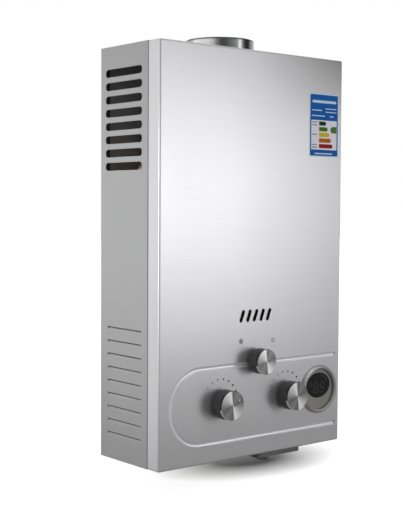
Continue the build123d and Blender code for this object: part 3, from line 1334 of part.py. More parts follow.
with BuildPart() as battery_cells:
    with BuildSketch(rising(battery_mid_x, battery_mid_depth, cell_foot)):
        with GridLocations(2 * CELL_RADIUS + CELL_GAP, 1, 2, 1):
            Circle(CELL_RADIUS)
    extrude(amount=CELL_HEIGHT)
    with BuildSketch(rising(battery_mid_x, battery_mid_depth, cell_foot + CELL_HEIGHT)):
        with GridLocations(2 * CELL_RADIUS + CELL_GAP, 1, 2, 1):
            RegularPolygon(CELL_RADIUS / 3, 8)
    extrude(amount=CELL_TIP_HEIGHT)
keep(battery_cells, "battery_cells")

with BuildPart() as cell_contacts:
    with BuildSketch(rising(battery_mid_x, battery_mid_depth, contact_level)):
        Rectangle(battery_width - 4 * BATTERY_WALL, CELL_RADIUS)
    extrude(amount=CONTACT_HEIGHT)
keep(cell_contacts, "cell_contacts")

with BuildPart() as door_contact:
    with BuildSketch(rising(battery_mid_x, battery_mid_depth, BATTERY_BOTTOM - DOOR_GAP + SEAM_GAP)):
        Rectangle(battery_width - 6 * BATTERY_WALL, CELL_RADIUS)
    extrude(amount=cell_foot - FITTING_CLEARANCE - BATTERY_BOTTOM + DOOR_GAP - SEAM_GAP)
keep(door_contact, "door_contact")
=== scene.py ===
"""A wall-hung gas water heater: its finishes, its printed marks and small fasteners, and its studio."""

import json
import math

import bmesh
import bpy
import numpy as np
from bpy.props import FloatProperty, FloatVectorProperty, IntProperty, PointerProperty
from mathutils import Matrix, Vector


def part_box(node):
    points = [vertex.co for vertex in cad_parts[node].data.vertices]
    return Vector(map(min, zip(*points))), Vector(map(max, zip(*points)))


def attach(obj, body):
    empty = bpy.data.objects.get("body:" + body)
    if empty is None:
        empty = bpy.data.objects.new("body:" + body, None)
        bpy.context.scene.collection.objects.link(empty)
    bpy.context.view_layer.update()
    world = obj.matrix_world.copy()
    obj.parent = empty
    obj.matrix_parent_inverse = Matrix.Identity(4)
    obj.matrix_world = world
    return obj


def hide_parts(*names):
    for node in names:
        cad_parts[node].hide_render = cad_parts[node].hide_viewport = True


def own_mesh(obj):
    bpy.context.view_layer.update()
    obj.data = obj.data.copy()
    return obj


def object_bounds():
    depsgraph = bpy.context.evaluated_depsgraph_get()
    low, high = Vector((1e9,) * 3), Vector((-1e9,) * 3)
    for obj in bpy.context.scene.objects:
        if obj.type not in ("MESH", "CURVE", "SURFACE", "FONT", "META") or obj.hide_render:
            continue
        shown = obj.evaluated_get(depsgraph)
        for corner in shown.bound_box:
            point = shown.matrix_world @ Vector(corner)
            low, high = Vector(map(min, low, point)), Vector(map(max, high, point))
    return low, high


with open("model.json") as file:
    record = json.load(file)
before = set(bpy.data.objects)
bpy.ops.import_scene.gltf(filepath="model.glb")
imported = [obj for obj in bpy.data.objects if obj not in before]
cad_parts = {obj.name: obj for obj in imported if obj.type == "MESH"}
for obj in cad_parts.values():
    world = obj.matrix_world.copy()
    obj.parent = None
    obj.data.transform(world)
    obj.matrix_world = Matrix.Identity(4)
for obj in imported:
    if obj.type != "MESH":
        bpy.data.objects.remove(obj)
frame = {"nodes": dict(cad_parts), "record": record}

bl_info = {
    "name": "Wall-Hung Water Heater",
    "version": (1, 0, 0),
    "blender": (4, 5, 0),
    "location": "View3D > Sidebar > Heater",
    "description": "Gives a wall-hung gas water heater its finishes, marks, screws and studio",
    "category": "Object",
}

MM = 0.001
CAD_LOW, CAD_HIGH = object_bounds()
COVER_LOW, COVER_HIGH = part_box("front_cover")
FRONT_Y = COVER_LOW.y
FOOT_Z = COVER_LOW.z
CASING = "casing"

# Points that are closer than this are one.
WELD = 0.0001 * MM

# The bead pressed round the controls: a half circle on the left, with two arms that run to the right.
BEAD_CENTRE = (-87 * MM, 0.0, FOOT_Z + 69.6 * MM)
BEAD_RADIUS = 45.5 * MM
BEAD_END = 141 * MM

# The flue's axis stands behind the middle of the front.
FLUE_Y = FRONT_Y + 72 * MM

WHITE = (1.0, 1.0, 1.0)
BLACK = (0.0, 0.0, 0.0)

# What mirrors see of the floor's own light: a little everywhere, and more on the left.
BACKDROP_IN_METAL = 0.08
LEFT_IN_METAL = 0.62


def middle(node):
    """Centre of a CAD node's box."""
    low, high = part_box(node)
    return (low + high) / 2


def length_property(name, description, millimetres):
    """A length that a user may change."""
    return FloatProperty(name=name, description=description, default=millimetres * MM, unit="LENGTH")


def power_property(name, description, watts):
    """The power of a lamp."""
    return FloatProperty(name=name, description=description, default=watts, unit="POWER")


def colour_property(name, description, colour):
    """A colour that a user may change."""
    return FloatVectorProperty(name=name, description=description, subtype="COLOR", default=colour)


class HeaterSizes(bpy.types.PropertyGroup):
    """Sizes of the pieces that are added to the frame, given here in millimetres."""

    ink_thickness: length_property("Ink thickness", "How far a printed mark stands off", 0.12)
    dial_radius: length_property("Dial radius", "From a flow knob's axis to its dots", 26.5)
    smallest_dot: length_property("Smallest dot", "Radius of the lowest dot of a dial", 0.7)
    largest_dot: length_property("Largest dot", "Radius of the highest dot of a dial", 1.45)
    dot_count: IntProperty(name="Dots", description="Dots round each flow knob", default=8)
    dial_rise: length_property("Dial rise", "Height of a dial's centre above its knob's axis", 3)
    dial_shift: length_property("Dial shift", "Sideways step of a dial's centre off its axis", -1.2)
    sign_size: length_property("Season sign", "Width of the winter and summer signs", 7)
    label_width: length_property("Label width", "Width of the label", 53)
    label_height: length_property("Label height", "Height of the label", 81)
    vent_count: IntProperty(name="Vents", description="Vent slots in the upper part of each side", default=8)
    vent_pitch: length_property("Vent pitch", "From one vent slot to the next", 16)
    vent_length: length_property("Vent length", "Length of a slot", 74.2)
    vent_height: length_property("Vent height", "Height of a slot", 9.5)
    vent_drop: length_property("Vent drop", "From the top of the case to the first slot's middle", 31.8)
    vent_depth: length_property("Vent depth", "From the front of the case to the slots' middle", 71)
    screw_radius: length_property("Screw head radius", "Radius of a case screw's head", 3.6)
    thread_pitch: length_property("Thread pitch", "Pitch of the pipe threads", 1.814)
    thread_depth: length_property("Thread depth", "Depth of the pipe threads", 1.1)


class HeaterColours(bpy.types.PropertyGroup):
    """Colours that a user would change."""

    cover: colour_property("Cover", "Brushed steel of the front", (0.568, 0.566, 0.578))
    paint: colour_property("Paint", "Painted steel of the case", (0.385, 0.386, 0.387))
    knob: colour_property("Knob", "Moulded body of each knob", (0.035, 0.035, 0.038))
    label: colour_property("Label", "Ground of the label", (0.0, 0.095, 0.37))
    ink: colour_property("Ink", "Printed marks round the knobs", (0.05, 0.05, 0.055))


class StudioSettings(bpy.types.PropertyGroup):
    """Light and camera of the studio."""

    key_power: power_property("Key light", "Power of the key light", 6.85)
    side_power: power_property("Side light", "Power of the side light", 0.34)
    back_power: power_property("Back light", "Power of the back light", 1.6)
    top_power: power_property("Top light", "Power of the top light", 4.0)
    ambient: FloatProperty(name="Ambient", description="Strength of the world's soft light", default=0.60)
    camera_side: FloatProperty(
        name="Camera side", description="How bright mirrors see the camera's side of the room", default=0.40
    )
    floor: colour_property("Floor", "Colour of the floor", (0.4, 0.4, 0.4))
    floor_lift: FloatProperty(
        name="Floor lift", description="Light that the floor adds to reach white", default=0.85
    )
    lens: FloatProperty(name="Lens", description="Focal length in millimetres", default=75.2, unit="CAMERA")


class Signal:
    """One shader value. Arithmetic on it adds the Math nodes that it needs."""

    def __init__(self, finish, socket):
        self.finish = finish
        self.socket = socket

    def math(self, operation, *values):
        """A Math node on signals and numbers."""
        return self.finish.add("ShaderNodeMath", {"operation": operation}, values)

    def __add__(self, other):
        return self.math("ADD", self, other)

    def __sub__(self, other):
        return self.math("SUBTRACT", self, other)

    def __rsub__(self, other):
        return self.math("SUBTRACT", other, self)

    def __mul__(self, other):
        return self.math("MULTIPLY", self, other)

    def __truediv__(self, other):
        return self.math("DIVIDE", self, other)

    def __pow__(self, other):
        return self.math("POWER", self, other)

    def __gt__(self, other):
        return self.math("GREATER_THAN", self, other)

    def __lt__(self, other):
        return self.math("LESS_THAN", self, other)

    __radd__ = __add__
    __rmul__ = __mul__

    def maximum(self, other):
        return self.math("MAXIMUM", self, other)

    def minimum(self, other):
        return self.math("MINIMUM", self, other)

    def size(self):
        """The value without its sign."""
        return self.math("ABSOLUTE", self)

    def fraction(self):
        """The value less the whole number below it."""
        return self.math("FRACT", self)

    def angle_from(self, along):
        """Angle whose tangent is this value over the other, in radians."""
        return self.math("ARCTAN2", self, along)


class Finish:
    """A material under construction around one Principled shader."""

    def __init__(self, name):
        self.material = bpy.data.materials.new(name)
        self.material.use_nodes = True
        self.tree = self.material.node_tree
        self.shader = self.tree.nodes["Principled BSDF"]

    def add(self, kind, settings=None, inputs=(), output=0):
        """One node of any kind: its settings first, then its sockets by name or number."""
        node = self.tree.nodes.new(kind)
        for key, value in (settings or {}).items():
            if key == "stops":
                self.fill_ramp(node.color_ramp, value)
            else:
                setattr(node, key, value)
        pairs = inputs.items() if isinstance(inputs, dict) else enumerate(inputs)
        for key, value in pairs:
            self.put(node.inputs[key], value)
        return None if output is None else Signal(self, node.outputs[output])

    def put(self, socket, value):
        """Links a signal to a socket, or sets the socket's own value."""
        if isinstance(value, Signal):
            self.tree.links.new(value.socket, socket)
        else:
            socket.default_value = value

    def fill_ramp(self, ramp, stops):
        """Gives a colour ramp its stops, each a place and a colour."""
        while len(ramp.elements) < len(stops):
            ramp.elements.new(0.5)
        for element, (place, colour) in zip(ramp.elements, stops):
            element.position = place
            element.color = (*colour, 1.0)

    def ray(self, kind):
        """1 where the ray is of the kind, else 0."""
        return self.add("ShaderNodeLightPath", output=kind)

    def mirrored(self):
        """1 where a mirror or a glass looks, else 0."""
        return self.ray("Is Glossy Ray").maximum(self.ray("Is Transmission Ray"))

    def place(self):
        """Position in the shared frame, in metres."""
        return self.add("ShaderNodeTexCoord", output="Object")

    def stretched(self, scale, offset=(0.0, 0.0, 0.0)):
        """Position less an offset, multiplied by a scale for each axis."""
        moved = self.add("ShaderNodeVectorMath", {"operation": "SUBTRACT"}, [self.place(), tuple(offset)])
        return self.add("ShaderNodeVectorMath", {"operation": "MULTIPLY"}, [moved, tuple(scale)])

    def axis(self, name, offset=(0.0, 0.0, 0.0)):
        """One coordinate of the position, in metres."""
        return self.add("ShaderNodeSeparateXYZ", {}, [self.stretched((1.0, 1.0, 1.0), offset)], output=name)

    def reach(self, first, second):
        """Distance from an axis, from the two coordinates across it."""
        return (first * first + second * second) ** 0.5

    def noise(self, scale, detail=2.0, roughness=0.5):
        """Noise with a number of cells in a metre, one for all axes or one for each."""
        cells = scale if isinstance(scale, tuple) else (scale, scale, scale)
        inputs = {"Vector": self.stretched(cells), "Scale": 1.0, "Detail": detail, "Roughness": roughness}
        return self.add("ShaderNodeTexNoise", {}, inputs)

    def spread(self, signal, low, high):
        """The signal's range from low to high, brought to 0 to 1."""
        return self.add("ShaderNodeMapRange", {"clamp": True}, [signal, low, high, 0.0, 1.0])

    def mix(self, factor, first, second):
        """Colour between two colours."""
        inputs = {0: factor, 6: self.colour(first), 7: self.colour(second)}
        return self.add("ShaderNodeMix", {"data_type": "RGBA"}, inputs, output=2)

    def colour(self, value):
        """A signal as it is, or a colour with the alpha that its socket asks for."""
        return value if isinstance(value, Signal) else (*value, 1.0)

    def bump(self, height, distance, strength):
        """Normal from a height between 0 and 1 that stands for a distance in metres."""
        return self.add("ShaderNodeBump", {}, {"Strength": strength, "Distance": distance, "Height": height})

    def mottle(self, signal, colour, darker, lighter):
        """A colour that goes from a darker to a lighter tone with the middle of a noise's range."""
        return self.mix(self.spread(signal, 0.3, 0.7), shade(colour, darker), shade(colour, lighter))

    def close(self, **values):
        """Puts the last values on the shader's sockets and gives the material back."""
        for name, value in values.items():
            socket = self.shader.inputs[name.replace("_", " ")]
            if name == "Base_Color":
                value = self.colour(value)
            self.put(socket, value)
        return self.material


def shade(colour, factor):
    """A colour made lighter or darker."""
    return tuple(min(1.0, channel * factor) for channel in colour)


def brushed_cover(colour):
    """Stainless sheet with long fine scratches across the front, with painted shade in its upper right corner
    and towards its foot that stands for a darker reflection, painted light on the returns towards the foot, a
    painted highlight along the bead and a dark line along the edge of the sheet."""
    finish = Finish("brushed_cover")
    long_lines = finish.noise((5.0, 5.0, 1500.0), detail=5.0, roughness=0.6)
    short_lines = finish.noise((22.0, 22.0, 5200.0), detail=3.0)
    cloud = finish.noise((7.0, 7.0, 5.0), detail=3.0)
    lines = long_lines * 0.6 + short_lines * 0.4
    across, depth, level = (finish.axis(name) for name in "XYZ")

    beyond = finish.axis("X", BEAD_CENTRE).minimum(0.0)
    off = (finish.reach(beyond, finish.axis("Z", BEAD_CENTRE)) - BEAD_RADIUS).size()
    bead = finish.spread(off, 3.4 * MM, 2.0 * MM) * (across < BEAD_END)

    edge = finish.spread(depth, COVER_HIGH.y - 1.7 * MM, COVER_HIGH.y - 1.2 * MM)
    # dull is painted shade: the front darkens in its upper right corner and towards its foot, a painted
    # darker reflection
    high = finish.spread(level, COVER_HIGH.z - 80 * MM, COVER_HIGH.z)
    corner = finish.spread(across, 0.0, COVER_HIGH.x) * high
    low = finish.spread(level, FOOT_Z + 160 * MM, FOOT_Z + 20 * MM)
    front = depth < FRONT_Y + 2.2 * MM
    dull = (corner * 2.0).maximum(low * 0.6) * front

    # lit_return is painted light on the returns, stronger towards the foot; the bead's colour is a painted
    # highlight, with less metal on the bead
    lit_return = (0.84, 0.84, 0.86)
    painted_bead_highlight = (0.86, 0.86, 0.875)
    sheet = finish.mottle(lines, colour, 0.93, 1.05)
    sheet = finish.mix(dull * 0.45, sheet, shade(colour, 0.5))
    sheet = finish.mix(low * (1.0 - front) * 0.4, sheet, lit_return)
    sheet = finish.mix(bead * 0.7, sheet, painted_bead_highlight)
    return finish.close(
        Base_Color=finish.mix(edge * 0.8, sheet, shade(colour, 0.2)),
        Metallic=0.70 - bead * 0.2,
        Roughness=0.26 + lines * 0.12 + cloud * 0.05,
        Normal=finish.bump(lines, 0.06 * MM, 0.35),
    )


def powder_paint(colour):
    """Satin powder coat: orange peel, faint specks and a little dust, with painted shade that darkens every
    face inside the case almost to black.
    """
    finish = Finish("grey_paint")
    peel = finish.noise(620.0)
    speck = finish.noise(2400.0, detail=1.0)
    cloud = finish.noise((9.0, 9.0, 6.0), detail=4.0)
    base = finish.mottle(cloud, colour, 0.96, 1.04)
    base = finish.mix((speck > 0.68) * 0.12, base, shade(colour, 0.55))

    # painted shade: every face inside the case, under the outer skin, is darkened almost to black
    outer_skin = 1.5 * MM
    (low, high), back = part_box("left_side_panel"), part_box("back_panel")[1]
    across, depth, level = (finish.axis(name) for name in "XYZ")
    inside = (across.size() < -low.x - outer_skin) * (depth < back.y - 1.2 * MM)
    inside = inside * (level < high.z - outer_skin) * (level > low.z + outer_skin)
    return finish.close(
        Base_Color=finish.mix(inside * 0.9, base, shade(colour, 0.1)),
        Metallic=0.0,
        Roughness=0.40 + cloud * 0.12,
        Coat_Weight=0.12,
        Normal=finish.bump(peel, 0.06 * MM, 0.25),
    )


def zinc_plate(colour):
    """Zinc plate: crystals a few millimetres wide and a dull blue-grey bloom."""
    finish = Finish("zinc_steel")
    cells = {"Vector": finish.stretched((160.0, 160.0, 160.0)), "Scale": 1.0}
    crystal = finish.add("ShaderNodeTexVoronoi", {"feature": "F1"}, cells, output="Color")
    grain = finish.add("ShaderNodeSeparateColor", {}, [crystal])
    bloom = finish.noise(40.0, detail=4.0)
    return finish.close(
        Base_Color=finish.mix(grain, shade(colour, 0.82), shade(colour, 1.08)),
        Metallic=1.0,
        Roughness=0.34 + grain * 0.12 + bloom * 0.12,
        Normal=finish.bump(bloom, 0.03 * MM, 0.3),
    )


def rolled_steel(name, colour, heat):
    """Bare sheet with rolling lines, and straw and blue heat colours towards the second level of the heat."""
    finish = Finish(name)
    roll = finish.noise((500.0, 500.0, 30.0), detail=3.0)
    cloud = finish.noise(30.0, detail=5.0)
    warmth = finish.spread(finish.axis("Z") + cloud * 20 * MM, *heat)
    straw, violet, blue = (0.42, 0.32, 0.18), (0.22, 0.14, 0.15), (0.10, 0.12, 0.17)
    stops = [(0.0, colour), (0.35, straw), (0.6, violet), (1.0, blue)]
    tint = finish.add("ShaderNodeValToRGB", {"stops": stops}, [warmth])
    return finish.close(
        Base_Color=finish.mix(0.75, finish.mottle(roll, colour, 0.88, 1.06), tint),
        Metallic=1.0,
        Roughness=0.26 + roll * 0.12 + cloud * 0.1,
        Normal=finish.bump(roll, 0.04 * MM, 0.3),
    )


def flue_steel(colour):
    """Glossy tube: rolling lines round it, with painted reflections, broad light and dark fans along it, and
    painted shade along the rolled lip.
    The fans' places are angles round the axis in degrees, counted from the side that the viewer faces."""
    finish = Finish("collar_steel")
    roll = finish.noise((60.0, 60.0, 1600.0), detail=3.0)
    axis = (0.0, FLUE_Y, 0.0)
    x, y = finish.axis("X", axis), finish.axis("Y", axis)
    facing_x, facing_y = -0.65, -0.76
    along, across = x * facing_x + y * facing_y, x * -facing_y + y * facing_x
    turn = across.angle_from(along) * (180 / math.pi)
    tube_face = 42.4 * MM
    outer = (finish.reach(x, y) > tube_face) * 1.0
    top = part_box("flue_collar")[1].z

    # painted reflections: bright, dark and dim are fans painted round the tube, with less metal in the bright
    # one; lip is painted shade
    bright = finish.spread(turn, -52.0, -35.0) * finish.spread(turn, -5.0, -17.0) * outer
    dark = finish.spread(turn, -9.0, 2.0) * finish.spread(turn, 27.0, 9.0)
    dim = finish.spread(turn, 40.0, 48.0) * finish.spread(turn, 95.0, 75.0) * 0.45
    lip = finish.spread(finish.axis("Z"), top - 2.6 * MM, top - 1.6 * MM) * outer
    base = finish.mix(bright, finish.mottle(roll, colour, 0.88, 1.06), (0.95, 0.95, 0.95))
    return finish.close(
        Base_Color=finish.mix((dark.maximum(dim) * outer).maximum(lip) * 0.8, base, shade(colour, 0.1)),
        Metallic=1.0 - bright * 0.6,
        Roughness=0.14 + roll * 0.14,
        Normal=finish.bump(roll, 0.04 * MM, 0.3),
    )


def bare_copper(colour):
    """Copper with brown tarnish and a few bright rubbed places."""
    finish = Finish("copper")
    tarnish = finish.spread(finish.noise(28.0, detail=6.0, roughness=0.65), 0.38, 0.72)
    drawn = finish.noise((900.0, 900.0, 60.0))
    return finish.close(
        Base_Color=finish.mix(tarnish, shade(colour, 0.75), shade(colour, 0.24)),
        Metallic=1.0,
        Roughness=0.20 + tarnish * 0.28 + drawn * 0.06,
        Normal=finish.bump(drawn, 0.03 * MM, 0.25),
    )


def machined(name, colour, pitch=1400.0, tarnish_to=0.6, rough=0.2):
    """Turned metal: fine tool lines and a thin uneven tarnish."""
    finish = Finish(name)
    lines = finish.noise((pitch, pitch * 0.02, pitch), detail=1.0)
    cloud = finish.spread(finish.noise(60.0, detail=5.0), 0.35, 0.75)
    return finish.close(
        Base_Color=finish.mix(cloud * 0.6, colour, shade(colour, tarnish_to)),
        Metallic=1.0,
        Roughness=rough + lines * 0.1 + cloud * 0.18,
        Normal=finish.bump(lines, 0.03 * MM, 0.3),
    )


def die_cast(colour):
    """Cast alloy with a fine sandy skin."""
    finish = Finish("cast_alloy")
    sand = finish.noise(1500.0, detail=4.0, roughness=0.7)
    cloud = finish.noise(35.0, detail=4.0)
    return finish.close(
        Base_Color=finish.mottle(cloud, colour, 0.85, 1.05),
        Metallic=1.0,
        Roughness=0.45 + sand * 0.2,
        Normal=finish.bump(sand, 0.12 * MM, 0.5),
    )


def moulded(name, colour, grain=1900.0, rough=0.5, gloss=0.0, depth=0.05 * MM):
    """Moulded plastic or rubber with a fine spark-eroded grain."""
    finish = Finish(name)
    pits = finish.noise(grain, detail=3.0, roughness=0.6)
    cloud = finish.noise(45.0, detail=3.0)
    return finish.close(
        Base_Color=finish.mottle(cloud, colour, 0.9, 1.12),
        Roughness=rough + pits * 0.14 + cloud * 0.06,
        Coat_Weight=gloss,
        Normal=finish.bump(pits, depth, 0.35),
    )


def spun_cap(colour, caps):
    """Spun aluminium: fine rings round the nearest knob's axis, with painted reflections: two light fans with
    one sharp side each, and a smooth rim with a painted highlight along its foot, painted shade on its upper
    part and a dark band at its back. A fan's places are shares of the half turn that starts at the first
    fan's sharp side."""
    finish = Finish("cap_metal")
    nearest, turn, height, over = None, None, None, None
    sharp_side = math.radians(93)
    for low, high in caps:
        centre = (low + high) / 2
        x, z = finish.axis("X", centre), finish.axis("Z", centre)
        reach = finish.reach(x, z)
        share = ((z.angle_from(x) - sharp_side) / math.pi).fraction()
        outside = reach > (high.x - low.x) / 2 - 0.5 * MM
        if nearest is None:
            nearest, turn, height, over = reach, share, z, outside
        else:
            closer = reach < nearest
            turn = share * closer + turn * (1.0 - closer)
            height = z * closer + height * (1.0 - closer)
            over = outside * closer + over * (1.0 - closer)
            nearest = nearest.minimum(reach)
    rings = {"W": nearest, "Scale": 1500.0, "Detail": 3.0}
    wander = finish.add("ShaderNodeTexNoise", {"noise_dimensions": "1D"}, rings)
    # painted reflections: the two light fans are painted into the colour, with less metal where they lie
    painted_fan_sheen = (finish.spread(turn, 0.58, 0.03) ** 1.15) * finish.spread(turn, -0.01, 0.055)
    second = finish.spread(turn, 0.62, 0.80) * finish.spread(turn, 0.97, 0.80)
    light = painted_fan_sheen.maximum(second * 0.12) * 0.88 + finish.spread(wander, 0.3, 0.7) * 0.12

    depth = finish.axis("Y", caps[0][0])
    rim = finish.spread(depth, 0.1 * MM, 0.4 * MM)
    # painted highlight on the rim below, painted shade on the rim's upper part; seam darkens the rim's back
    # band
    upper = over * finish.spread(height, -4.4 * MM, -3.2 * MM)
    seam = finish.spread(depth, 3.2 * MM, 3.5 * MM)
    fans = finish.mix(light, shade(colour, 0.13), shade(colour, 1.4))
    edge = finish.mix(upper.maximum(seam), shade(colour, 1.4), shade(colour, 0.10))
    return finish.close(
        Base_Color=finish.mix(rim, fans, edge),
        Metallic=1.0 - light * (1.0 - rim) * 0.6,
        Roughness=(0.26 + wander * 0.1) * (1.0 - rim) + rim * 0.14,
        Normal=finish.bump(wander * (1.0 - rim), 0.04 * MM, 0.3),
    )


def cell_jacket(colour):
    """A dry cell's printed jacket: dark below, a gold band near the top and a bare metal end."""
    finish = Finish("cell_jacket")
    low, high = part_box("battery_cells")
    level = finish.spread(finish.axis("Z"), low.z, high.z)
    scuff = finish.noise((300.0, 300.0, 60.0), detail=3.0)
    gold, metal, worn = (0.72, 0.50, 0.16), (0.7, 0.7, 0.7), (0.5, 0.5, 0.5)
    band_foot, band_top = 0.68, 0.92
    jacket = finish.mix((level > band_foot) * (level < band_top), colour, gold)
    jacket = finish.mix((level > band_top) * 1.0, jacket, metal)
    return finish.close(
        Base_Color=finish.mix(finish.spread(scuff, 0.62, 0.8) * 0.4, jacket, worn),
        Metallic=0.6,
        Roughness=0.3 + scuff * 0.15,
        Normal=finish.bump(scuff, 0.03 * MM, 0.2),
    )


def printed(name, colour, rough=0.4):
    """Screen-printed ink with soft pinholes."""
    finish = Finish(name)
    cloud = finish.noise(900.0)
    return finish.close(
        Base_Color=finish.mix(finish.spread(cloud, 0.35, 0.75), colour, shade(colour, 1.2)),
        Roughness=rough + cloud * 0.15,
        Specular_IOR_Level=0.12,
        Normal=finish.bump(cloud, 0.02 * MM, 0.2),
    )


def display_black():
    """Dark tinted window with a clear hard coat."""
    finish = Finish("display_black")
    haze = finish.noise(120.0, detail=3.0)
    return finish.close(
        Base_Color=finish.mix(finish.spread(haze, 0.3, 0.8), (0.004, 0.004, 0.005), (0.010, 0.010, 0.012)),
        Roughness=0.16 + haze * 0.08,
        Specular_IOR_Level=0.22,
        Normal=finish.bump(haze, 0.02 * MM, 0.1),
    )


def record_colour(slot):
    """Base colour that the record gives a slot."""
    for material in frame["record"]["materials"]:
        if material["slot"] == slot:
            return tuple(material["base_color"][:3])
    raise RuntimeError("the record has no slot " + slot)


def node_finishes(colours):
    """One finish for each slot of the record."""
    caps = [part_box(name + "_knob_cap") for name in ("gas", "water", "season")]
    shell_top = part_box("exchanger_shell")[1].z
    hood_heat = (shell_top + 120 * MM, shell_top)
    bars_heat = tuple(corner.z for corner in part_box("burner_bars"))
    # painted shade: the hood is darkened to about a third of its colour, as it lies in shade inside the case
    shaded_hood = shade(record_colour("hood_steel"), 0.35)
    display_grey, housing_grey = (0.235, 0.23, 0.205), (0.17, 0.172, 0.178)
    return {
        "brushed_cover": brushed_cover(tuple(colours.cover)),
        "grey_paint": powder_paint(tuple(colours.paint)),
        "zinc_steel": zinc_plate(record_colour("zinc_steel")),
        "hood_steel": rolled_steel("hood_steel", shaded_hood, hood_heat),
        "collar_steel": flue_steel(record_colour("collar_steel")),
        "copper": bare_copper(record_colour("copper")),
        "brass": machined("brass", record_colour("brass")),
        "cast_alloy": die_cast(record_colour("cast_alloy")),
        "burner_steel": rolled_steel("burner_steel", record_colour("burner_steel"), bars_heat),
        "rubber": moulded("rubber", record_colour("rubber"), rough=0.7),
        "knob_plastic": moulded("knob_plastic", tuple(colours.knob), rough=0.32, gloss=0.25),
        "cap_metal": spun_cap(record_colour("cap_metal"), caps),
        "bezel_metal": machined(
            "bezel_metal", record_colour("bezel_metal"), pitch=900.0, tarnish_to=0.8, rough=0.30
        ),
        "display_plastic": moulded("display_plastic", display_grey, rough=0.35),
        "display_black": display_black(),
        "housing_plastic": moulded("housing_plastic", housing_grey, rough=0.5),
        "ceramic": moulded(
            "ceramic", record_colour("ceramic"), grain=700.0, rough=0.18, gloss=0.5, depth=0.02 * MM
        ),
        "cell_jacket": cell_jacket(record_colour("cell_jacket")),
        "spring_steel": machined(
            "spring_steel", record_colour("spring_steel"), pitch=700.0, tarnish_to=0.8, rough=0.22
        ),
    }


class Pile:
    """Vertices and faces of one piece, gathered from several surfaces."""

    def __init__(self):
        self.points = []
        self.faces = []
        self.count = 0

    def put(self, points, faces):
        """Adds a surface whose faces count its own points from zero."""
        self.points.append(points)
        self.faces.extend((np.asarray(face) + self.count).tolist() for face in faces)
        self.count += len(points)

    def grid(self, points, wrap=False):
        """A surface of two parameters: one quad for each cell of the grid. Wrap joins its ends round."""
        rows, columns, _ = points.shape
        index = np.arange(rows * columns).reshape(rows, columns)
        if wrap:
            index = np.hstack([index, index[:, :1]])
        corners = [index[:-1, :-1], index[1:, :-1], index[1:, 1:], index[:-1, 1:]]
        self.put(points.reshape(-1, 3), np.stack(corners, axis=-1).reshape(-1, 4))

    def slab(self, outline, place):
        """A thin closed plate: the outline at both ends of its thickness, with a wall between."""
        count = len(outline)
        near = place(np.column_stack([outline, np.ones(count)]))
        far = place(np.column_stack([outline, np.zeros(count)]))
        ring = np.arange(count)
        step = np.roll(ring, -1)
        walls = np.stack([ring, ring + count, step + count, step], axis=-1)
        self.put(np.vstack([near, far]), [ring, ring[::-1] + count, *walls])

    def band(self, outer, inner, place):
        """A closed ring: two outlines at both ends of its thickness, joined all the way round."""
        rows = [(outer, 0), (outer, 1), (inner, 1), (inner, 0), (outer, 0)]
        points = [place(np.column_stack([line, np.full(len(line), level)])) for line, level in rows]
        self.grid(np.stack(points), wrap=True)

    def mesh(self, name, material):
        """The gathered surfaces as one mesh."""
        mesh = bpy.data.meshes.new(name)
        mesh.from_pydata(np.vstack(self.points).tolist(), [], self.faces)
        mesh.materials.append(material)
        return mesh

    def build(self, name, material):
        """The gathered surfaces as one closed piece that rides on the casing."""
        piece = set_out(name, welded(self.mesh(name, material), turn_outward=True))
        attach(piece, CASING)
        return piece


def welded(mesh, turn_outward=False):
    """The mesh with its doubles merged, and on a new piece with all faces outward."""
    shape = bmesh.new()
    shape.from_mesh(mesh)
    bmesh.ops.remove_doubles(shape, verts=shape.verts, dist=WELD)
    if turn_outward:
        bmesh.ops.dissolve_degenerate(shape, edges=shape.edges, dist=WELD / 10)
        bmesh.ops.recalc_face_normals(shape, faces=shape.faces)
    shape.to_mesh(mesh)
    shape.free()
    return mesh


def set_out(name, data):
    """A new object in the scene."""
    made = bpy.data.objects.new(name, data)
    bpy.context.scene.collection.objects.link(made)
    return made


def on_front(x, z, thickness, turn=0.0, y=FRONT_Y):
    """Map from a flat outline, and 0 or 1 for its height, to a place on the front: turned, then shifted."""
    c, s = math.cos(turn), math.sin(turn)

    def place(points):
        u = x + c * points[:, 0] - s * points[:, 1]
        w = z + s * points[:, 0] + c * points[:, 1]
        return np.column_stack([u, y - thickness * points[:, 2], w])

    return place


def circle(radius, count=28):
    """Points on a circle: radius times the cosine and sine of evenly spaced angles."""
    angle = 2 * math.pi * np.arange(count) / count
    return np.column_stack([radius * np.cos(angle), radius * np.sin(angle)])


def rounded_bar(length, width, count=6):
    """A bar with half-round ends."""
    angle = np.linspace(-math.pi / 2, math.pi / 2, count)
    right = np.column_stack([length / 2 - width / 2 + width / 2 * np.cos(angle), width / 2 * np.sin(angle)])
    return np.vstack([right, -right])


def rounded_plate(width, height, radius, count=6):
    """A rectangle with its corners rounded by quarter circles."""
    angle = np.linspace(0, math.pi / 2, count)
    quarter = np.column_stack([np.cos(angle), np.sin(angle)]) * radius
    centre = np.array([width / 2 - radius, height / 2 - radius])
    first = centre + quarter
    second = centre * (-1, 1) + quarter[::-1] * (-1, 1)
    return np.vstack([first, second, -first, -second])


def band(radius, width, start, end, count=24):
    """Part of a ring: an outer arc and an inner arc that runs back."""
    angle = np.linspace(start, end, count)
    arc = np.column_stack([np.cos(angle), np.sin(angle)])
    return np.vstack([arc * (radius + width / 2), arc[::-1] * (radius - width / 2)])


def drop(height, stroke, count=28):
    """Outer and inner outline of a drop: a circle whose upper points are drawn up to a tip by the sine's
    fourth power, and the same line a stroke further in."""
    angle = 2 * math.pi * np.arange(count) / count - math.pi / 2
    rise = np.clip(np.sin(angle), 0, None)
    tip_rise = 0.75
    whole = 2 + tip_rise
    x = np.cos(angle) * (1 - 0.55 * rise**1.5)
    line = np.column_stack([x, np.sin(angle) + tip_rise * rise**4]) / whole
    return line * height, line * (height - whole * stroke)


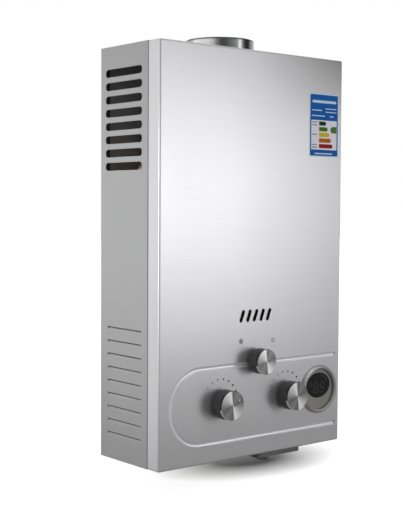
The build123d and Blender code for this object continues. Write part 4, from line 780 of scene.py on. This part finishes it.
def dial_marks(sizes, material):
    """Dots that grow from low to high round both flow knobs, and a short bar at the low end."""
    pile = Pile()
    first, last = math.radians(158), math.radians(22)
    bar = rounded_bar(3.4 * MM, 0.7 * MM)
    bar_inset, bar_rise = 1.5 * MM, 5.6 * MM
    for knob in ("gas_knob_cap", "water_knob_cap"):
        centre = middle(knob)
        for step in np.linspace(0, 1, sizes.dot_count):
            angle = first + (last - first) * step
            x = centre.x + sizes.dial_shift + sizes.dial_radius * math.cos(angle)
            z = centre.z + sizes.dial_rise + sizes.dial_radius * math.sin(angle)
            radius = sizes.smallest_dot + (sizes.largest_dot - sizes.smallest_dot) * step
            pile.slab(circle(radius), on_front(x, z, sizes.ink_thickness))
        low_x = centre.x - sizes.dial_radius + bar_inset
        pile.slab(bar, on_front(low_x, centre.z + bar_rise, sizes.ink_thickness))
    pile.build("dial_marks", material)


def season_marks(sizes, material):
    """A six-armed frost sign on the left of the season knob and a rayed sun sign on its right."""
    pile = Pile()
    centre = middle("season_knob_cap")
    size, ink = sizes.sign_size, sizes.ink_thickness
    stroke = 0.55 * MM
    frost = (centre.x - 23.7 * MM, centre.z + 25.1 * MM)
    sun = (centre.x + 29.7 * MM, centre.z + 22.8 * MM)
    barb_lean = math.pi / 3.4

    def out_from(sign, distance, angle):
        return sign[0] + distance * math.cos(angle), sign[1] + distance * math.sin(angle)

    for k in range(3):
        pile.slab(rounded_bar(size, stroke), on_front(*frost, ink * (1 + 0.1 * k), k * math.pi / 3))
    barb = rounded_bar(0.24 * size, stroke) + (0.1 * size, 0)
    for k in range(6):
        angle = k * math.pi / 3
        root = out_from(frost, 0.3 * size, angle)
        for side in (-1, 1):
            pile.slab(barb, on_front(*root, ink * 1.35, angle + side * barb_lean))
    pile.slab(band(0.26 * size, stroke * 1.2, 0, 1.999 * math.pi, 36), on_front(*sun, ink))
    ray = rounded_bar(0.14 * size, stroke)
    for k in range(8):
        angle = k * math.pi / 4
        pile.slab(ray, on_front(*out_from(sun, 0.43 * size, angle), ink, angle))
    pile.build("season_marks", material)


def label_step(length, height, turn, count=9):
    """A step of the label: square at one end and half-round at the other. A turn of -1 points it left."""
    angle = np.linspace(-math.pi / 2, math.pi / 2, count)
    tip = length / 2 - height / 2
    arc = np.column_stack([tip + height / 2 * np.cos(angle), height / 2 * np.sin(angle)])
    square = np.array([[-length / 2, height / 2], [-length / 2, -height / 2]])
    return np.vstack([arc, square]) * turn


def label(sizes, colours):
    """A plain card: coloured steps on a pale panel, on a blue ground with a pale edge, with bars for lines.
    Places are millimetres across and up from the card's middle. A rank counts the layers of print below."""
    x, z = 116.9 * MM, FOOT_Z + 414.3 * MM
    layer = 0.05 * MM
    width, height = sizes.label_width, sizes.label_height
    edge = 2 * 1.3 * MM

    def stick(name, tone, rank, shapes, rough=0.45):
        pile = Pile()
        for outline, across, up in shapes:
            pile.slab(outline, on_front(x + across * MM, z + up * MM, sizes.ink_thickness + rank * layer))
        pile.build(name, printed(name, tone, rough))

    def bars(rows):
        return [(rounded_bar(long * MM, thick * MM), across, up) for across, up, long, thick in rows]

    pale_blue, pale_grey = (0.50, 0.68, 0.84), (0.72, 0.70, 0.75)
    stick("label_edge", pale_blue, 0, [(rounded_plate(width, height, 1.5 * MM), 0, 0)])
    stick("label_ground", tuple(colours.label), 1, [(rounded_plate(width - edge, height - edge, MM), 0, 0)])
    stick("label_panel", pale_grey, 2, [(rounded_plate(46.6 * MM, 37.9 * MM, 0.5 * MM), 0, -12.5)])

    tones = [(0.005, 0.035, 0.010), (0.05, 0.15, 0.006), (0.52, 0.44, 0.01)]
    tones += [(0.42, 0.10, 0.006), (0.28, 0.006, 0.008)]
    step_height, step_pitch, shortest, growth = 5.3, 7.25, 12.5, 3.1
    for k, tone in enumerate(tones):
        long = shortest + growth * k
        outline = label_step(long * MM, step_height * MM, 1)
        stick("label_step_%d" % (k + 1), tone, 3, [(outline, long / 2 - 9.1, 2.3 - step_pitch * k)])
    stick("label_tag", (0.07, 0.16, 0.03), 3, [(label_step(11.1 * MM, 8.3 * MM, -1), 17.3, -5.3)])

    white_rows = [
        (0, 30.2, 44, 3.4),
        (-13.3, 19.1, 18.7, 1.3),
        (-10.6, 12.0, 24.0, 1.3),
        (12.5, 21.6, 20.2, 1.1),
        (12.5, 17.3, 20.2, 1.1),
        (13.7, 11.7, 7.2, 1.3),
        (-1, -36.4, 32.7, 1.5),
    ]
    grey_rows = [(-17.1, 3.7, 10, 1.2), (-17.1, 0.1, 10, 1.2)]
    grey_rows += [(-17.7, up, 9.6, 1.3) for up in (-12.0, -25.1, -28.4)]
    stick("label_lines", (0.52, 0.66, 0.80), 3, bars(white_rows), 0.4)
    stick("label_notes", (0.22, 0.22, 0.23), 3, bars(grey_rows), 0.4)


def digit_bars(width, height, stroke):
    """The seven bars of a figure 8: place, turn and length of each."""
    w, h = width / 2, height / 4
    flat = [(0, 2 * h, 0), (0, 0, 0), (0, -2 * h, 0)]
    upright = [(sx * w, sz * h, math.pi / 2) for sx in (-1, 1) for sz in (-1, 1)]
    across = [(x, z, turn, width - 1.2 * stroke) for x, z, turn in flat]
    return across + [(x, z, turn, height / 2 - 1.2 * stroke) for x, z, turn in upright]


def display_marks():
    """Two unlit figures, a drop and an arc on the window."""
    centre = middle("display_window")
    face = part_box("display_window")[0].y
    thickness = 0.05 * MM
    figures = Pile()
    width, height, stroke = 7.1 * MM, 12.9 * MM, 1.5 * MM
    lean = math.radians(-6)
    for offset in (-4.7 * MM, 7.0 * MM):
        for x, z, turn, length in digit_bars(width, height, stroke):
            spot = (centre.x + offset + x - z * math.tan(lean), centre.z - 3 * MM + z)
            place = on_front(*spot, thickness, turn + (lean if turn else 0.0), face)
            figures.slab(rounded_bar(length, stroke, 3), place)
    sign = on_front(centre.x - 13.8 * MM, centre.z + 1.4 * MM, thickness, 0.0, face)
    figures.band(*drop(7.4 * MM, 0.7 * MM), sign)
    arc = band(9.5 * MM, 1.3 * MM, math.radians(18), math.radians(95))
    figures.slab(arc, on_front(centre.x + 5 * MM, centre.z + 2.5 * MM, thickness, 0.0, face))
    figures.build("display_figures", printed("display_figures", (0.045, 0.045, 0.048), 0.3))


def frame_at(origin, normal):
    """Two directions across a normal, and the normal, as the columns of a turn."""
    n = Vector(normal).normalized()
    side = n.orthogonal().normalized()
    return np.array([side, n.cross(side), n]).T, np.array(origin)


def stand_in(node, name):
    """A copy of a CAD node's own mesh with its doubles merged, in the node's place."""
    piece = set_out(name, welded(frame["nodes"][node].data.copy()))
    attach(piece, CASING)
    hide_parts(node)
    return piece


def vented_side(node, sizes, material):
    """The side panel's own mesh less one prism for each vent slot: a rectangle with quarter-circle corners
    carried through the sheet."""
    low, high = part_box(node)
    side = -1 if low.x + high.x < 0 else 1
    face = max(-low.x, high.x) * side
    outside, inside = 2 * MM, 3 * MM
    outline = rounded_plate(sizes.vent_length, sizes.vent_height, 0.47 * sizes.vent_height, 8)

    def through(level):
        def place(points):
            x = face + side * (outside - (outside + inside) * points[:, 2])
            return np.column_stack([x, FRONT_Y + sizes.vent_depth + points[:, 0], level + points[:, 1]])

        return place

    slots = Pile()
    for k in range(sizes.vent_count):
        slots.slab(outline, through(high.z - sizes.vent_drop - k * sizes.vent_pitch))
    cutter = slots.build("vent_cutter", material)
    piece = stand_in(node, node.replace("panel", "sheet"))
    cut = piece.modifiers.new("slots", "BOOLEAN")
    cut.operation = "DIFFERENCE"
    cut.solver = "EXACT"
    cut.object = cutter
    result = bpy.data.meshes.new_from_object(piece.evaluated_get(bpy.context.evaluated_depsgraph_get()))
    piece.modifiers.clear()
    piece.data = result
    bpy.data.objects.remove(cutter)
    result.materials.clear()
    result.materials.append(material)


def screw_head(pile, origin, normal, radius, rings=10, spokes=32):
    """A pan head: a dome whose height follows the cosine's power of 0.6 from the middle to the rim, with a
    cross pressed into it, closed by a flat foot."""
    turn, start = frame_at(origin, normal)
    share = np.linspace(0, 1, rings)[:, None]
    angle = 2 * math.pi * np.arange(spokes)[None, :] / spokes
    dome_height, cross_depth = 0.62 * radius, 0.3 * radius
    arm_length, arm_half = 0.62 * radius, 0.14 * radius
    r = radius * np.sin(share * math.pi / 2)
    height = dome_height * np.cos(share * math.pi / 2) ** 0.6 * np.ones_like(angle)
    x, y = r * np.cos(angle), r * np.sin(angle)
    cross = np.minimum(np.abs(x), np.abs(y)) < arm_half
    inside = np.maximum(np.abs(x), np.abs(y)) < arm_length
    height = height - cross_depth * (cross & inside)
    dome = np.stack([x, y, height], axis=-1) @ turn.T + start
    pile.grid(dome, wrap=True)
    foot = np.stack([np.vstack([x[-1:], 0 * x[:1]]), np.vstack([y[-1:], 0 * x[:1]]), 0 * x[:2]], axis=-1)
    rim = np.stack([x[-1:], y[-1:], height[-1:]], axis=-1)
    pile.grid(np.concatenate([rim, foot]) @ turn.T + start, wrap=True)


def screws(sizes, material):
    """Case screws, rail screws, collar screws and the screws of the diaphragm chamber."""
    radius = sizes.screw_radius
    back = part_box("back_panel")[1].y

    case = Pile()
    for x in (-110 * MM, 110 * MM):
        for z, normal in ((COVER_LOW.z, (0, 0, -1)), (COVER_HIGH.z, (0, 0, 1))):
            screw_head(case, (x, FRONT_Y + 14 * MM, z), normal, radius)
    for x in (-142 * MM, 142 * MM):
        for z in (-225 * MM, -75 * MM, 75 * MM, 225 * MM):
            screw_head(case, (x, back, z), (0, 1, 0), radius)
    case.build("case_screws", material)

    rails = Pile()
    rails_low, rails_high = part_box("wall_rails")
    rail_sheet = 1.2 * MM
    for x in (-105 * MM, -45 * MM, 45 * MM, 105 * MM):
        for inset in (6 * MM, 46 * MM):
            for z in (rails_low.z + inset, rails_high.z - inset):
                screw_head(rails, (x, back + rail_sheet, z), (0, 1, 0), 0.8 * radius)
    rails.build("rail_screws", material)

    flange = Pile()
    flange_circle = 48 * MM
    flange_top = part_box("top_panel")[1].z + 0.9 * MM
    for angle in np.radians([-150, -90, -30, 25, 155]):
        x, y = flange_circle * math.cos(angle), FLUE_Y + flange_circle * math.sin(angle)
        screw_head(flange, (x, y, flange_top), (0, 0, 1), 0.7 * radius)
    flange.build("collar_screws", material)

    chamber = Pile()
    valve = middle("diaphragm_cover")
    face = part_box("diaphragm_cover")[0].x + 5 * MM
    chamber_circle = 21 * MM
    for k in range(6):
        angle = k * math.pi / 3
        y, z = valve.y + chamber_circle * math.cos(angle), valve.z + chamber_circle * math.sin(angle)
        screw_head(chamber, (face, y, z), (-1, 0, 0), 2.4 * MM)
    chamber.build("chamber_screws", material)


def threaded_nipple(node, sizes, material):
    """Barrel with a helical thread: its radius falls with the distance from the nearest crest, which climbs
    one pitch a turn. The hexagon's radius is that of its flat divided by the cosine of the angle from it."""
    low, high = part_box(node)
    centre = middle(node)
    outer, bore, neck, hex_half = 10.48 * MM, 7.5 * MM, 4.2 * MM, 13.5 * MM
    hex_top, hex_foot = FOOT_Z - 0.1 * MM, FOOT_Z - 7.1 * MM
    chamfer, lead_in, fade_out = 0.9 * MM, 1.2 * MM, 1.2 * MM
    neck_end, bore_end = high.z - 6 * MM, high.z - 8 * MM
    angle = 2 * math.pi * np.arange(72)[None, :] / 72

    def ring(radius, level):
        r = radius + 0 * angle
        return np.stack([centre.x + r * np.cos(angle), centre.y + r * np.sin(angle), level + 0 * r], axis=-1)

    z = np.linspace(low.z, hex_foot, 110)[:, None]
    phase = ((z - low.z) / sizes.thread_pitch - angle / (2 * math.pi)) % 1.0
    valley = 1 - np.abs(2 * phase - 1)
    fade = np.clip((hex_foot - 1.4 * MM - z) / fade_out, 0, 1)
    lead = np.clip(1 - (z - low.z) / lead_in, 0, 1)
    cast = ring(outer - sizes.thread_depth * valley * fade - chamfer * lead, z)
    pile = Pile()
    pile.grid(cast, wrap=True)

    hexagon = hex_half / np.cos(np.mod(angle, math.pi / 3) - math.pi / 6)
    chamfered = np.minimum(hexagon, hex_half + 0.7 * MM)
    wall = [
        ring(outer, hex_foot),
        ring(chamfered, hex_foot),
        ring(hexagon, hex_foot + chamfer),
        ring(hexagon, hex_top - chamfer),
        ring(chamfered, hex_top),
        ring(outer, hex_top),
        ring(outer, high.z),
        ring(neck, high.z),
        ring(neck, neck_end),
        ring(bore, bore_end),
        ring(bore, low.z),
        cast[:1],
    ]
    pile.grid(np.concatenate(wall), wrap=True)
    piece = pile.build(node.replace("nipple", "thread"), material)
    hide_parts(node)


def lamp(name, place, aim, power, size, beam=180.0):
    """A rectangular soft light aimed at a point."""
    data = bpy.data.lights.new(name, "AREA")
    data.shape = "RECTANGLE"
    data.size, data.size_y = size
    data.energy = power
    data.spread = math.radians(beam)
    light = set_out(name, data)
    light.location = place
    light.rotation_mode = "QUATERNION"
    light.rotation_quaternion = (Vector(aim) - Vector(place)).to_track_quat("-Z", "Z")


def studio_floor(studio):
    """A pale floor, lit and with a glow that brings it to white for the camera and partly for mirrors; in an
    ellipse under the heater the glow is taken away, a painted shadow over the floor's real shadow.
    """
    half_width, lines = 8.0, 33
    span = np.linspace(-half_width, half_width, lines)
    x, y = np.meshgrid(span, span, indexing="ij")
    z = np.full_like(x, CAD_LOW.z - 0.5 * MM)
    pile = Pile()
    pile.grid(np.stack([x, y, z], axis=-1))

    finish = Finish("studio_floor")
    cloud = finish.noise(3.0)
    across, along = finish.axis("X"), finish.axis("Y")
    # painted shadow: the glow fades out in this ellipse under the heater
    shadow_x, shadow_y, shadow_width, shadow_depth = 75 * MM, -30 * MM, 140 * MM, 85 * MM
    beside, before = (across - shadow_x) / shadow_width, (along - shadow_y) / shadow_depth
    clear = finish.spread(finish.reach(beside, before), 0.35, 1.15)
    far = finish.spread(finish.reach(across, along), 0.5, 3.0)
    left = finish.spread(across, -0.1, -0.6)
    mirrored = finish.mirrored() * (left * LEFT_IN_METAL + BACKDROP_IN_METAL)
    lift = clear * (studio.floor_lift + far * 0.15) + 0.02
    material = finish.close(
        Base_Color=tuple(studio.floor),
        Roughness=0.75 + cloud * 0.1,
        Emission_Color=finish.mix(finish.ray("Is Camera Ray").maximum(mirrored) * lift, BLACK, WHITE),
        Emission_Strength=1.0,
    )
    set_out("studio_floor", pile.mesh("studio_floor", material))


class Surround(Finish):
    """The world under construction."""

    def __init__(self):
        self.world = bpy.data.worlds.new("studio_world")
        self.world.use_nodes = True
        self.tree = self.world.node_tree
        self.tree.nodes.clear()


def studio_world(studio):
    """White for the camera, for mirrors and glass a white room with a dimmer camera side and one dark flag,
    and an even soft light for the rest."""
    surround = Surround()
    bpy.context.scene.world = surround.world
    camera = surround.ray("Is Camera Ray")
    toward = surround.add("ShaderNodeTexCoord", output="Generated")
    right, back, up = (surround.add("ShaderNodeSeparateXYZ", {}, [toward], output=axis) for axis in "XYZ")
    room = surround.spread(back + up * 0.1, -0.95, 0.35)
    flag = surround.spread(right * 1.5 + up, 1.06, 1.26) * surround.spread(back, 0.0, -0.3)
    flag = flag * surround.spread(up, 0.5, 0.25)
    lit = surround.mix(room, shade(WHITE, studio.camera_side), WHITE)
    flagged = surround.mix(flag, lit, shade(WHITE, 0.02))
    seen = surround.mix(camera, flagged, WHITE)
    soft = surround.add("ShaderNodeBackground", {}, [surround.colour(WHITE), studio.ambient])
    backdrop = surround.add("ShaderNodeBackground", {}, [seen, 1.0])
    choice = surround.add("ShaderNodeMixShader", {}, [camera.maximum(surround.mirrored()), soft, backdrop])
    surround.add("ShaderNodeOutputWorld", {}, [choice], output=None)


def studio_camera(lens):
    """The photograph's viewpoint: its place, the way it looks and a slight roll."""
    place = (-0.9072, -1.1254, 0.0597)
    azimuth, elevation, roll = math.radians(39.43), math.radians(2.92), math.radians(0.33)
    ahead, aside = math.cos(azimuth), math.sin(azimuth)
    forward = Vector((math.cos(elevation) * aside, math.cos(elevation) * ahead, -math.sin(elevation)))
    level = Vector((ahead, -aside, 0.0))
    upright = level.cross(forward)
    right = level * math.cos(roll) + upright * math.sin(roll)
    up = right.cross(forward)
    data = bpy.data.cameras.new("camera")
    data.sensor_width = 36.0
    data.lens = lens
    data.clip_start, data.clip_end = 0.05, 50.0
    camera = set_out("camera", data)
    camera.location = place
    camera.rotation_mode = "QUATERNION"
    camera.rotation_quaternion = Matrix((right, up, -forward)).transposed().to_quaternion()
    bpy.context.scene.camera = camera


class HEATER_OT_finishes(bpy.types.Operator):
    """Give every part of the frame its finish"""

    bl_idname = "heater.finishes"
    bl_label = "Finishes"

    def execute(self, context):
        finishes = node_finishes(context.scene.heater_colours)
        for row in frame["record"]["subparts"]:
            node = frame["nodes"][row["node"]]
            node.data.materials.clear()
            node.data.materials.append(finishes[row["material_slot"]])
        return {"FINISHED"}


class HEATER_OT_marks(bpy.types.Operator):
    """Print the dots round the flow knobs and the signs beside the season knob"""

    bl_idname = "heater.marks"
    bl_label = "Printed marks"

    def execute(self, context):
        sizes = context.scene.heater_sizes
        ink = printed("dark_ink", tuple(context.scene.heater_colours.ink))
        dial_marks(sizes, ink)
        season_marks(sizes, ink)
        return {"FINISHED"}


class HEATER_OT_label(bpy.types.Operator):
    """Stick the plain coloured card on the cover"""

    bl_idname = "heater.label"
    bl_label = "Label"

    def execute(self, context):
        label(context.scene.heater_sizes, context.scene.heater_colours)
        return {"FINISHED"}


class HEATER_OT_display(bpy.types.Operator):
    """Add the display's figures and signs behind its window"""

    bl_idname = "heater.display"
    bl_label = "Display"

    def execute(self, context):
        display_marks()
        return {"FINISHED"}


class HEATER_OT_screws(bpy.types.Operator):
    """Drive the small screws of the case, rails, collar and valve"""

    bl_idname = "heater.screws"
    bl_label = "Screws"

    def execute(self, context):
        steel = machined("screw_steel", (0.62, 0.63, 0.64), pitch=800.0, tarnish_to=0.7, rough=0.25)
        screws(context.scene.heater_sizes, steel)
        return {"FINISHED"}


class HEATER_OT_vents(bpy.types.Operator):
    """Cut the vent slots of both sides"""

    bl_idname = "heater.vents"
    bl_label = "Vent slots"

    def execute(self, context):
        paint = frame["nodes"]["left_side_panel"].data.materials[0]
        for node in ("left_side_panel", "right_side_panel"):
            vented_side(node, context.scene.heater_sizes, paint)
        return {"FINISHED"}


class HEATER_OT_spring(bpy.types.Operator):
    """Put a copy of the valve spring's own mesh in its place"""

    bl_idname = "heater.spring"
    bl_label = "Valve spring"

    def execute(self, context):
        piece = stand_in("valve_spring", "valve_coil")
        low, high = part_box("valve_spring")
        joint = next(j for j in frame["record"]["behaviour"]["joints"] if j["name"] == "push_rod_slide")
        travel = joint["range_m"][1] - joint["range_m"][0]
        1 - travel / (high.x - low.x)
        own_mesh(piece)
        return {"FINISHED"}


class HEATER_OT_nipples(bpy.types.Operator):
    """Cut the threads of the three pipe connections"""

    bl_idname = "heater.nipples"
    bl_label = "Pipe threads"

    def execute(self, context):
        brass = machined("thread_brass", record_colour("brass"), pitch=900.0, tarnish_to=0.55, rough=0.22)
        for node in ("gas_inlet_nipple", "cold_inlet_nipple", "hot_outlet_nipple"):
            threaded_nipple(node, context.scene.heater_sizes, brass)
        return {"FINISHED"}


class HEATER_OT_stage(bpy.types.Operator):
    """Set the floor, the surround, the lamps and the camera"""

    bl_idname = "heater.stage"
    bl_label = "Studio"

    def execute(self, context):
        studio = context.scene.heater_studio
        context.scene.view_settings.view_transform = "Standard"
        studio_floor(studio)
        studio_world(studio)
        lamp(
            "key_light",
            place=(1.18, -1.90, 0.12),
            aim=(-0.10, -0.13, 0.08),
            power=studio.key_power,
            size=(0.80, 0.70),
        )
        lamp(
            "side_light",
            place=(-0.78, -0.02, 0.05),
            aim=(-0.15, -0.04, 0.04),
            power=studio.side_power,
            size=(0.30, 0.30),
            beam=66.0,
        )
        lamp(
            "back_light",
            place=(-1.5, 1.3, 0.1),
            aim=(-0.15, -0.1, 0.0),
            power=studio.back_power,
            size=(1.1, 1.3),
        )
        lamp(
            "top_light",
            place=(0.2, -0.6, 2.0),
            aim=(0.0, 0.0, 0.0),
            power=studio.top_power,
            size=(1.4, 1.4),
        )
        studio_camera(studio.lens)
        return {"FINISHED"}


STEPS = (
    HEATER_OT_finishes,
    HEATER_OT_marks,
    HEATER_OT_label,
    HEATER_OT_display,
    HEATER_OT_screws,
    HEATER_OT_vents,
    HEATER_OT_spring,
    HEATER_OT_nipples,
    HEATER_OT_stage,
)


class HEATER_PT_panel(bpy.types.Panel):
    """Lists the heater's steps in the 3D view's sidebar"""

    bl_idname = "HEATER_PT_panel"
    bl_label = "Water Heater"
    bl_space_type = "VIEW_3D"
    bl_region_type = "UI"
    bl_category = "Heater"

    def draw(self, context):
        for step in STEPS:
            self.layout.operator(step.bl_idname)


GROUPS = (HeaterSizes, HeaterColours, StudioSettings)


def register():
    for kind in (*GROUPS, *STEPS, HEATER_PT_panel):
        bpy.utils.register_class(kind)
    bpy.types.Scene.heater_sizes = PointerProperty(type=HeaterSizes)
    bpy.types.Scene.heater_colours = PointerProperty(type=HeaterColours)
    bpy.types.Scene.heater_studio = PointerProperty(type=StudioSettings)


def unregister():
    del bpy.types.Scene.heater_studio
    del bpy.types.Scene.heater_colours
    del bpy.types.Scene.heater_sizes
    for kind in reversed((*GROUPS, *STEPS, HEATER_PT_panel)):
        bpy.utils.unregister_class(kind)


def main():
    """Registers the add-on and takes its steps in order."""
    register()
    for step in STEPS:
        family, name = step.bl_idname.split(".")
        getattr(getattr(bpy.ops, family), name)()


if __name__ == "__main__":
    main()
